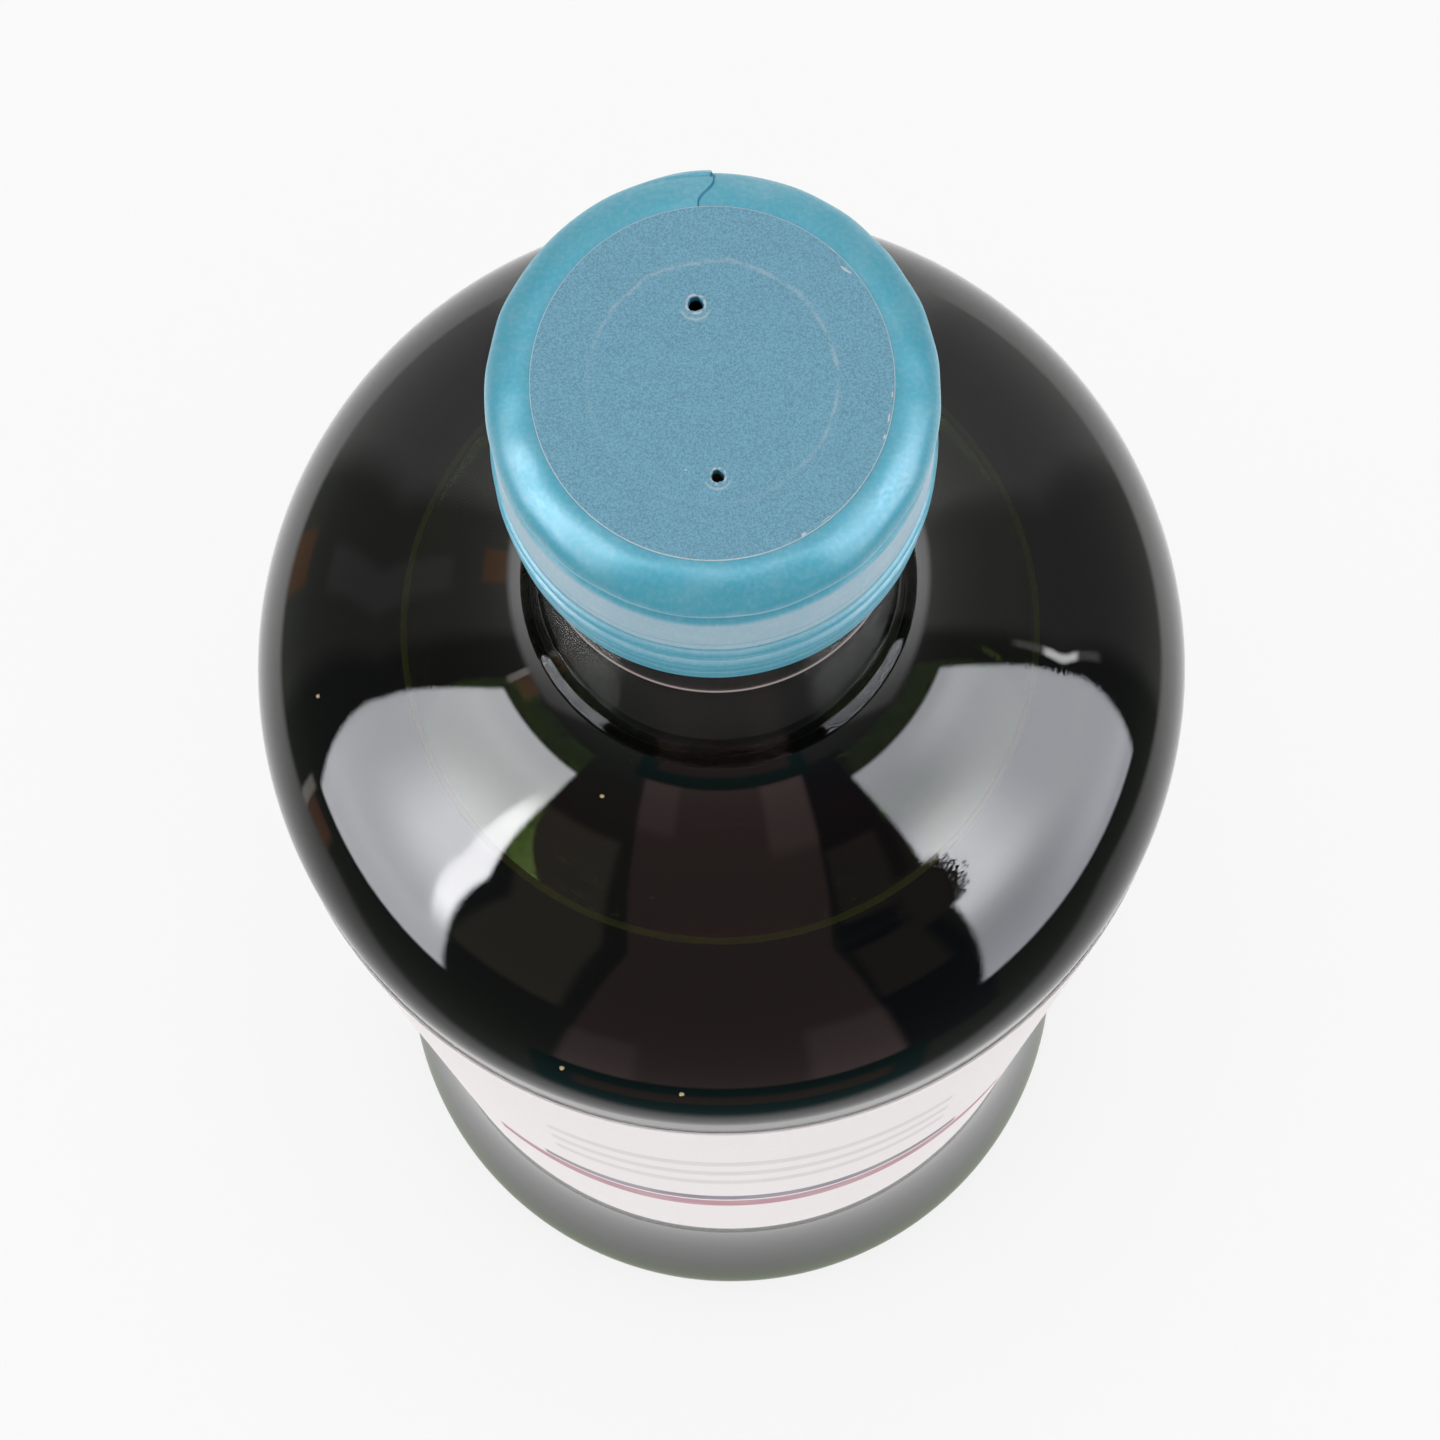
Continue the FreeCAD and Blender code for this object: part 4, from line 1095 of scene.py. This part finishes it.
def print_label(tree, place, tone, colours, low):
    """Prints a two-tone rule across the label's front, and faint bars above it."""
    parts = add_node(tree, "ShaderNodeSeparateXYZ", {}, (place,)).outputs
    front = add_node(tree, *SOFT_STEP, (parts["Y"], -0.02, -0.01, 1.0, 0.0))
    # The ink lies a little unevenly, in patches 5 mm across.
    patches = add_node(tree, "ShaderNodeTexNoise", {},
                       {"Vector": place, "Scale": 1 / (5 * MM), "Detail": 2.0})
    dabs = add_node(tree, *SOFT_STEP, (patches, 0.3, 0.7, 0.85, 1.0))
    ink = add_node(tree, *TIMES, (front, dabs))
    crisp = 0.4 * MM
    rule = low + 45 * MM
    # Each bar: its lower and upper edge, its left and right end, its strength and its colour.
    bars = [(rule - 5 * MM, rule + 3 * MM, -0.024, 0.029, 0.8, colours.rule),
            (rule + 4.5 * MM, rule + 10 * MM, -0.019, 0.024, 0.8, colours.rule_dark)]
    bars += [(rule + level * MM, rule + (level + 5) * MM, -0.017, 0.022, 0.3, colours.rule_faint)
             for level in (28, 40, 52)]
    for foot, head, left, right, strength, shade in bars:
        bar = add_node(tree, *TIMES, (band(tree, parts["Z"], foot, head, crisp, strength),
                                      band(tree, parts["X"], left, right, crisp)))
        share = add_node(tree, *TIMES, (bar, ink))
        tone = add_node(tree, *COLOUR_MIX, {MIX_FACTOR: share, MIX_A: tone,
                                            MIX_B: opaque(shade)}).outputs[MIX_RESULT]
    return tone


class MESH_OT_bottle_label(bpy.types.Operator):
    """Wraps the paper label round the wall"""

    bl_idname = "mesh.bottle_label"
    bl_label = "Label"
    bl_options = {"REGISTER", "UNDO"}

    def execute(self, context):
        size = context.scene.cover_sizes
        colours = context.scene.bottle_colours
        low, high = LABEL_LOW[2], LABEL_HIGH[2]
        wide = LABEL_HIGH[0]
        clear = 0.03 * MM
        foot = (label_low_radius(context.scene.bottle_sizes, size, low) + clear, low)
        outline = straight(foot, (wide + clear, high), 40) + [(wide + clear, high)]
        gap = math.asin(size.label_gap / 2 / wide)
        piece = turn_up("wrap_label", outline, LABEL_COLUMNS, math.tau - 2 * gap,
                        math.pi / 2 + gap)
        first = piece.data.polygons[0]
        if outward(first.center, first.normal) < 0:
            piece.data.flip_normals()
        apply_modifier(piece, "SOLIDIFY", thickness=size.label_thickness, offset=-1.0)

        def printed(tree, place, tone):
            return print_label(tree, place, tone, colours, low)

        # Uncoated label paper: matt, warm white, with a soft wide grain.
        stock = paper_material("label_stock", colours.label, 0.4 * MM, 0.03 * MM, 0.7, 0.03,
                               printed)
        paint(piece, [stock], lambda place, normal: 0)
        smooth(piece, 40)
        finish_piece(piece, "label")
        return {"FINISHED"}


# ---- the studio ----

# What the gloss mirrors, in degrees: each patch's start and end round from the front, towards +X,
# with how far that edge leans per degree of height and how soft it is; its lowest and its highest
# angle, with their softness; how far its sides fray; and its brightness as red, green and blue.
# None is a side without an edge.
PATCHES = [
    ("room_left", (-130, 0, 6), (-97, -0.1, 6), None, None, 0, (0.27, 0.28, 0.26)),
    ("window_frame", (-115, 0, 3), (-108, 0, 3), (8, 8), (48, 8), 0, (0.40, 0.41, 0.40)),
    ("room_right", (98, 0.1, 6), (126, 0, 6), None, None, 0, (0.34, 0.35, 0.34)),
    ("back_left", None, (-127, 0, 8), None, None, 0, (0.70, 0.70, 0.70)),
    ("back_right", (126, 0, 8), None, None, None, 0, (0.72, 0.72, 0.72)),
    ("backdrop_left", None, (-156, 0, 12), (-20, 12), (60, 12), 0, (1.6, 1.6, 1.6)),
    ("backdrop_right", (156, 0, 12), None, (-20, 12), (60, 12), 0, (1.6, 1.6, 1.6)),
    ("dark_right", (27, 0, 2), (46, 0, 2), (-30, 4), (55, 4), 0, (0.075, 0.085, 0.10)),
    ("cloth_left", (-50, 0, 3), (-28, 0, 3), (12, 5), (58, 5), 0, (0.34, 0.32, 0.27)),
    ("cloth_right", (28, 0, 3), (42, 0, 3), (17, 3), (50, 3), 0, (0.19, 0.18, 0.165)),
    ("front", (-25, 0.06, 1.5), (28, -0.05, 1.5), (-26, 2), None, 0, (0.34, 0.255, 0.25)),
    ("front_fold_left", (-25, 0.06, 3), (-14, 0, 3), (-26, 4), (2, 8), 0, (0.50, 0.38, 0.37)),
    ("front_fold_right", (14, 0, 3), (28, -0.05, 3), (-26, 4), (12, 10), 0, (0.54, 0.41, 0.40)),
    ("front_low", (-31, 0, 2), (33, 0, 2), None, (-27, 1.5), 0, (0.05, 0.105, 0.105)),
    ("front_stripe", (-24, 0, 3), (27, 0, 3), (-44, 3), (-35, 3), 0, (0.16, 0.13, 0.12)),
    ("wood_left", (-117, 0, 2), (-109, 0, 2), (-27, 4), (-10, 4), 0, (0.55, 0.33, 0.22)),
    ("wood_near", (-81, 0, 2), (-74, 0, 2), (-38, 4), (-17, 4), 0, (0.50, 0.27, 0.20)),
    ("box_left", (-83, -0.25, 2), (-49, -0.13, 2), (-9.5, 3), None, 2, (6.4, 6.5, 6.9)),
    ("box_left_main", (-83, -0.25, 2), (-49, -0.13, 2), (1, 12), None, 2, (7.8, 7.9, 8.3)),
    ("box_left_high", (-66, -0.25, 20), (-49, -0.13, 2), (30, 36), None, 2, (13.2, 13.3, 13.9)),
    ("box_left_edge", (-51.8, -0.21, 2.5), (-49.3, -0.13, 1.6), (17, 24), None, 2, (20, 20, 20.6)),
    ("box_right", (45.2, 0.11, 2), (88.5, 0.22, 2), (-11, 3), None, 4, (4.5, 4.6, 5.0)),
    ("box_right_main", (66, 0.11, 24), (88.5, 0.22, 2), (-4, 10), None, 4, (6.3, 6.4, 6.9)),
    ("box_right_mid", (45.2, 0.11, 2), (88.5, 0.22, 2), (24, 24), None, 4, (7.0, 7.1, 7.6)),
    ("box_right_high", (45.2, 0.11, 2), (64, 0.11, 24), (34, 24), None, 4, (12.0, 12.1, 12.6)),
    ("box_right_cloth", (36, 0.11, 2), (34, 0.45, 1.2), (42, 4), None, 22, (0.19, 0.18, 0.165)),
    ("streak_right", (95.2, 0.118, 1), (96.6, 0.118, 1), (23, 6), (49, 4), 0.8, (0.9, 0.9, 0.9)),
    ("streak_bright", (95.2, 0.118, 1), (96.6, 0.118, 1), (37, 4), (48, 4), 0.8, (9.0, 9.0, 9.0)),
    ("streak_left", (-83.2, 0, 1), (-81, 0, 1), (-46, 5), (-14, 5), 1, (1.3, 1.2, 1.1)),
]
ROOM = (0.12, 0.135, 0.125)
# The fraying's threads: how much slower they change round the room than with height, and how
# thick they are, in degrees.
THREAD_STRETCH, THREAD_SIZE = 0.6, 0.7
# How bright the even fill is that lights the piece.
FILL = (0.80, 0.80, 0.80)

# The floor as the gloss mirrors it: where the sheet ends in front, how far it reaches to each
# side, how soft its edges are, and how bright it is in front and further back.
SHEET_FRONT, SHEET_SIDE, SHEET_SOFT = -0.150, 0.390, 0.050
SHEET_SHADED, SHEET_LIT = 0.4, 1.15
# The share of the floor's own white, which the lamps don't change.
FLOOR_GLOW = 0.8

LAMPS = [
    # Each lamp: its name, its place, its width and height, and its watts.
    ("lamp_left", (-0.95, -0.33, 0.62), 0.6, 0.8, 0.5),
    ("lamp_right", (0.93, -0.38, 0.62), 0.6, 0.8, 0.25),
]
LAMP_AIM = (0.0, 0.0, 0.15)

CAMERA_LENS, CAMERA_SENSOR = 130.21, 36.0
CAMERA_PLACE = (0.003136, -0.095239, 0.639917)
# Which ways the camera's right side, its top and its back face.
CAMERA_AXES = (
    (0.99997558, 0.00135575, -0.00685577),
    (0.0, 0.98100236, 0.19399581),
    (0.00698854, -0.19399107, 0.9809784),
)


def light_path(tree, *kinds):
    """1 for rays of any of the named kinds."""
    path = add_node(tree, "ShaderNodeLightPath").outputs
    total = path[kinds[0]]
    for kind in kinds[1:]:
        total = add_node(tree, *LARGER, (total, path[kind]))
    return total


def make_world():
    """White behind the bottle, an even soft fill, and the studio that shows in its gloss."""
    world = bpy.data.worlds.new("studio")
    bpy.context.scene.world = world
    world.use_nodes = True
    tree = world.node_tree
    tree.nodes.clear()
    way = add_node(tree, "ShaderNodeTexCoord").outputs["Generated"]
    parts = add_node(tree, "ShaderNodeSeparateXYZ", {}, (way,)).outputs
    ahead = add_node(tree, *TIMES, (parts["Y"], -1.0))
    turn = add_node(tree, "ShaderNodeMath", {"operation": "ARCTAN2"}, (parts["X"], ahead))
    tilt = add_node(tree, "ShaderNodeMath", {"operation": "ARCSINE"}, (parts["Z"],))
    around = add_node(tree, *TIMES, (turn, math.degrees(1)))
    height = add_node(tree, *TIMES, (tilt, math.degrees(1)))
    # The cloth and the streaks have frayed edges: their threads run level, so the fraying changes
    # fast with height and slowly round the room.
    drawn = add_node(tree, *TIMES, (around, THREAD_STRETCH))
    threads = add_node(tree, "ShaderNodeCombineXYZ", {}, (drawn, height))
    loose = add_node(tree, "ShaderNodeTexNoise", {}, {"Vector": threads, "Scale": 1 / THREAD_SIZE,
                                                      "Detail": 5.0, "Roughness": 0.65})
    fray = add_node(tree, *PLUS, (loose, -0.5))
    mirrored = opaque(ROOM)
    for _, start, end, low, high, frayed, shade in PATCHES:
        place = add_node(tree, *TIMES_PLUS, (fray, frayed, around)) if frayed else around
        sides = [(place, start, 0.0, 1.0), (place, end, 1.0, 0.0),
                 (height, low and (low[0], 0, low[1]), 0.0, 1.0),
                 (height, high and (high[0], 0, high[1]), 1.0, 0.0)]
        cover = None
        for value, limit, first, last in sides:
            if not limit:
                continue
            edge, lean, soft = limit
            past = add_node(tree, *TIMES_PLUS, (height, -lean, value)) if lean else value
            step = add_node(tree, *SOFT_STEP, (past, edge - soft / 2, edge + soft / 2, first, last))
            cover = add_node(tree, *TIMES, (cover, step)) if cover else step
        mirrored = add_node(tree, *COLOUR_MIX, {MIX_FACTOR: cover, MIX_A: mirrored,
                                                MIX_B: opaque(shade)}).outputs[MIX_RESULT]
    seen = opaque(FILL)
    for kinds, shade in ((("Is Glossy Ray", "Is Transmission Ray"), mirrored),
                         (("Is Camera Ray",), WHITE)):
        seen = add_node(tree, *COLOUR_MIX, {MIX_FACTOR: light_path(tree, *kinds), MIX_A: seen,
                                            MIX_B: shade}).outputs[MIX_RESULT]
    background = add_node(tree, "ShaderNodeBackground", {}, {"Color": seen, "Strength": 1.0})
    add_node(tree, "ShaderNodeOutputWorld", {}, {"Surface": background})


def floor_material(floor_colour):
    """Matt white paper: plain for the eye, and a sheet of limited size in the glass's gloss."""
    material, tree = new_material("white_paper_floor")
    place = add_node(tree, "ShaderNodeTexCoord").outputs["Object"]
    parts = add_node(tree, "ShaderNodeSeparateXYZ", {}, (place,)).outputs
    # The paper is a little greyer in clouds 80 mm across.
    clouds = add_node(tree, "ShaderNodeTexNoise", {},
                      {"Vector": place, "Scale": 1 / 0.08, "Detail": 2.0})
    greyer = opaque(0.985 * value for value in floor_colour)
    tone = add_node(tree, *COLOUR_MIX, {MIX_FACTOR: clouds, MIX_A: opaque(floor_colour),
                                        MIX_B: greyer}).outputs[MIX_RESULT]
    matt = add_node(tree, "ShaderNodeBsdfDiffuse", {}, {"Color": tone})
    bright = add_node(tree, "ShaderNodeEmission", {}, {"Color": WHITE, "Strength": 1.0})
    even = add_node(tree, "ShaderNodeMixShader", {}, (FLOOR_GLOW, matt, bright))
    behind = add_node(tree, *SOFT_STEP, (parts["Y"], SHEET_FRONT - SHEET_SOFT / 2,
                                         SHEET_FRONT + SHEET_SOFT / 2, 0.0, 1.0))
    sideways = add_node(tree, "ShaderNodeMath", {"operation": "ABSOLUTE"}, (parts["X"],))
    between = add_node(tree, *SOFT_STEP, (sideways, SHEET_SIDE - SHEET_SOFT,
                                          SHEET_SIDE + SHEET_SOFT, 1.0, 0.0))
    inside = add_node(tree, *TIMES, (behind, between))
    # Towards its front the sheet lies in the shade of whoever stands there.
    shaded = add_node(tree, *SOFT_STEP, (parts["Y"], SHEET_FRONT, 0.3 * SHEET_SIDE, SHEET_SHADED,
                                         SHEET_LIT))
    lit = add_node(tree, "ShaderNodeEmission", {}, {"Color": WHITE, "Strength": shaded})
    gone = add_node(tree, "ShaderNodeBsdfTransparent")
    sheet = add_node(tree, "ShaderNodeMixShader", {}, (inside, gone, lit))
    mirrored = light_path(tree, "Is Glossy Ray", "Is Transmission Ray")
    shown = add_node(tree, "ShaderNodeMixShader", {}, (mirrored, even, sheet))
    add_node(tree, "ShaderNodeOutputMaterial", {}, {"Surface": shown})
    return material


def add_lamp(name, place, wide, tall, watts):
    """One large soft lamp, aimed at the bottle, that the gloss doesn't mirror."""
    bpy.ops.object.select_all(action="DESELECT")
    bpy.ops.object.light_add(type="AREA", location=place)
    lamp = bpy.context.active_object
    lamp.name = name
    lamp.data.shape = "RECTANGLE"
    lamp.data.size = wide
    lamp.data.size_y = tall
    lamp.data.energy = watts
    aim = Vector(LAMP_AIM) - Vector(place)
    lamp.rotation_euler = aim.to_track_quat("-Z", "Y").to_euler()
    lamp.visible_glossy = False
    lamp.visible_transmission = False
    lamp.visible_camera = False


def add_camera():
    """The camera, almost overhead and a little in front."""
    bpy.ops.object.select_all(action="DESELECT")
    bpy.ops.object.camera_add()
    camera = bpy.context.active_object
    camera.name = "camera"
    camera.data.sensor_width = CAMERA_SENSOR
    camera.data.lens = CAMERA_LENS
    turned = Matrix(CAMERA_AXES).transposed().to_4x4()
    camera.matrix_world = Matrix.Translation(CAMERA_PLACE) @ turned
    bpy.context.scene.camera = camera


class SCENE_OT_bottle_studio(bpy.types.Operator):
    """Sets up the floor, the light and the camera"""

    bl_idname = "scene.bottle_studio"
    bl_label = "Studio"
    bl_options = {"REGISTER", "UNDO"}

    def execute(self, context):
        bpy.ops.object.select_all(action="DESELECT")
        bpy.ops.mesh.primitive_plane_add(size=6.0, location=(0.0, 0.0, 0.0))
        floor = settle(bpy.context.active_object)
        floor.name = floor.data.name = "floor"
        floor.data.materials.append(floor_material(context.scene.bottle_colours.floor))
        make_world()
        for lamp in LAMPS:
            add_lamp(*lamp)
        add_camera()
        context.scene.view_settings.view_transform = "Standard"
        return {"FINISHED"}


class VIEW3D_PT_whisky_bottle(bpy.types.Panel):
    """Lists the bottle's pieces and its studio"""

    bl_idname = "VIEW3D_PT_whisky_bottle"
    bl_label = "Whisky bottle"
    bl_space_type = "VIEW_3D"
    bl_region_type = "UI"
    bl_category = "Whisky bottle"

    def draw(self, context):
        for operator in OPERATORS:
            self.layout.operator(operator.bl_idname)
        for group in ("bottle_sizes", "cover_sizes", "bottle_colours"):
            values = getattr(context.scene, group)
            column = self.layout.column(align=True)
            for name in values.__annotations__:
                column.prop(values, name)


OPERATORS = (MESH_OT_bottle_glass, MESH_OT_bottle_drink, MESH_OT_bottle_capsule,
             MESH_OT_bottle_disc, MESH_OT_bottle_label, SCENE_OT_bottle_studio)
CLASSES = (BottleSizes, CoverSizes, BottleColours, *OPERATORS, VIEW3D_PT_whisky_bottle)


def register():
    """Makes the sizes, the operators and the panel known."""
    for each in CLASSES:
        bpy.utils.register_class(each)
    bpy.types.Scene.bottle_sizes = PointerProperty(type=BottleSizes)
    bpy.types.Scene.cover_sizes = PointerProperty(type=CoverSizes)
    bpy.types.Scene.bottle_colours = PointerProperty(type=BottleColours)


def unregister():
    """Takes them away again."""
    del bpy.types.Scene.bottle_colours
    del bpy.types.Scene.cover_sizes
    del bpy.types.Scene.bottle_sizes
    for each in reversed(CLASSES):
        bpy.utils.unregister_class(each)


def main():
    """Builds every piece and the studio, and writes how large the result is."""
    register()
    bpy.ops.mesh.bottle_glass()
    bpy.ops.mesh.bottle_drink()
    bpy.ops.mesh.bottle_capsule()
    bpy.ops.mesh.bottle_disc()
    bpy.ops.mesh.bottle_label()
    bpy.ops.scene.bottle_studio()


if __name__ == "__main__":
    main()
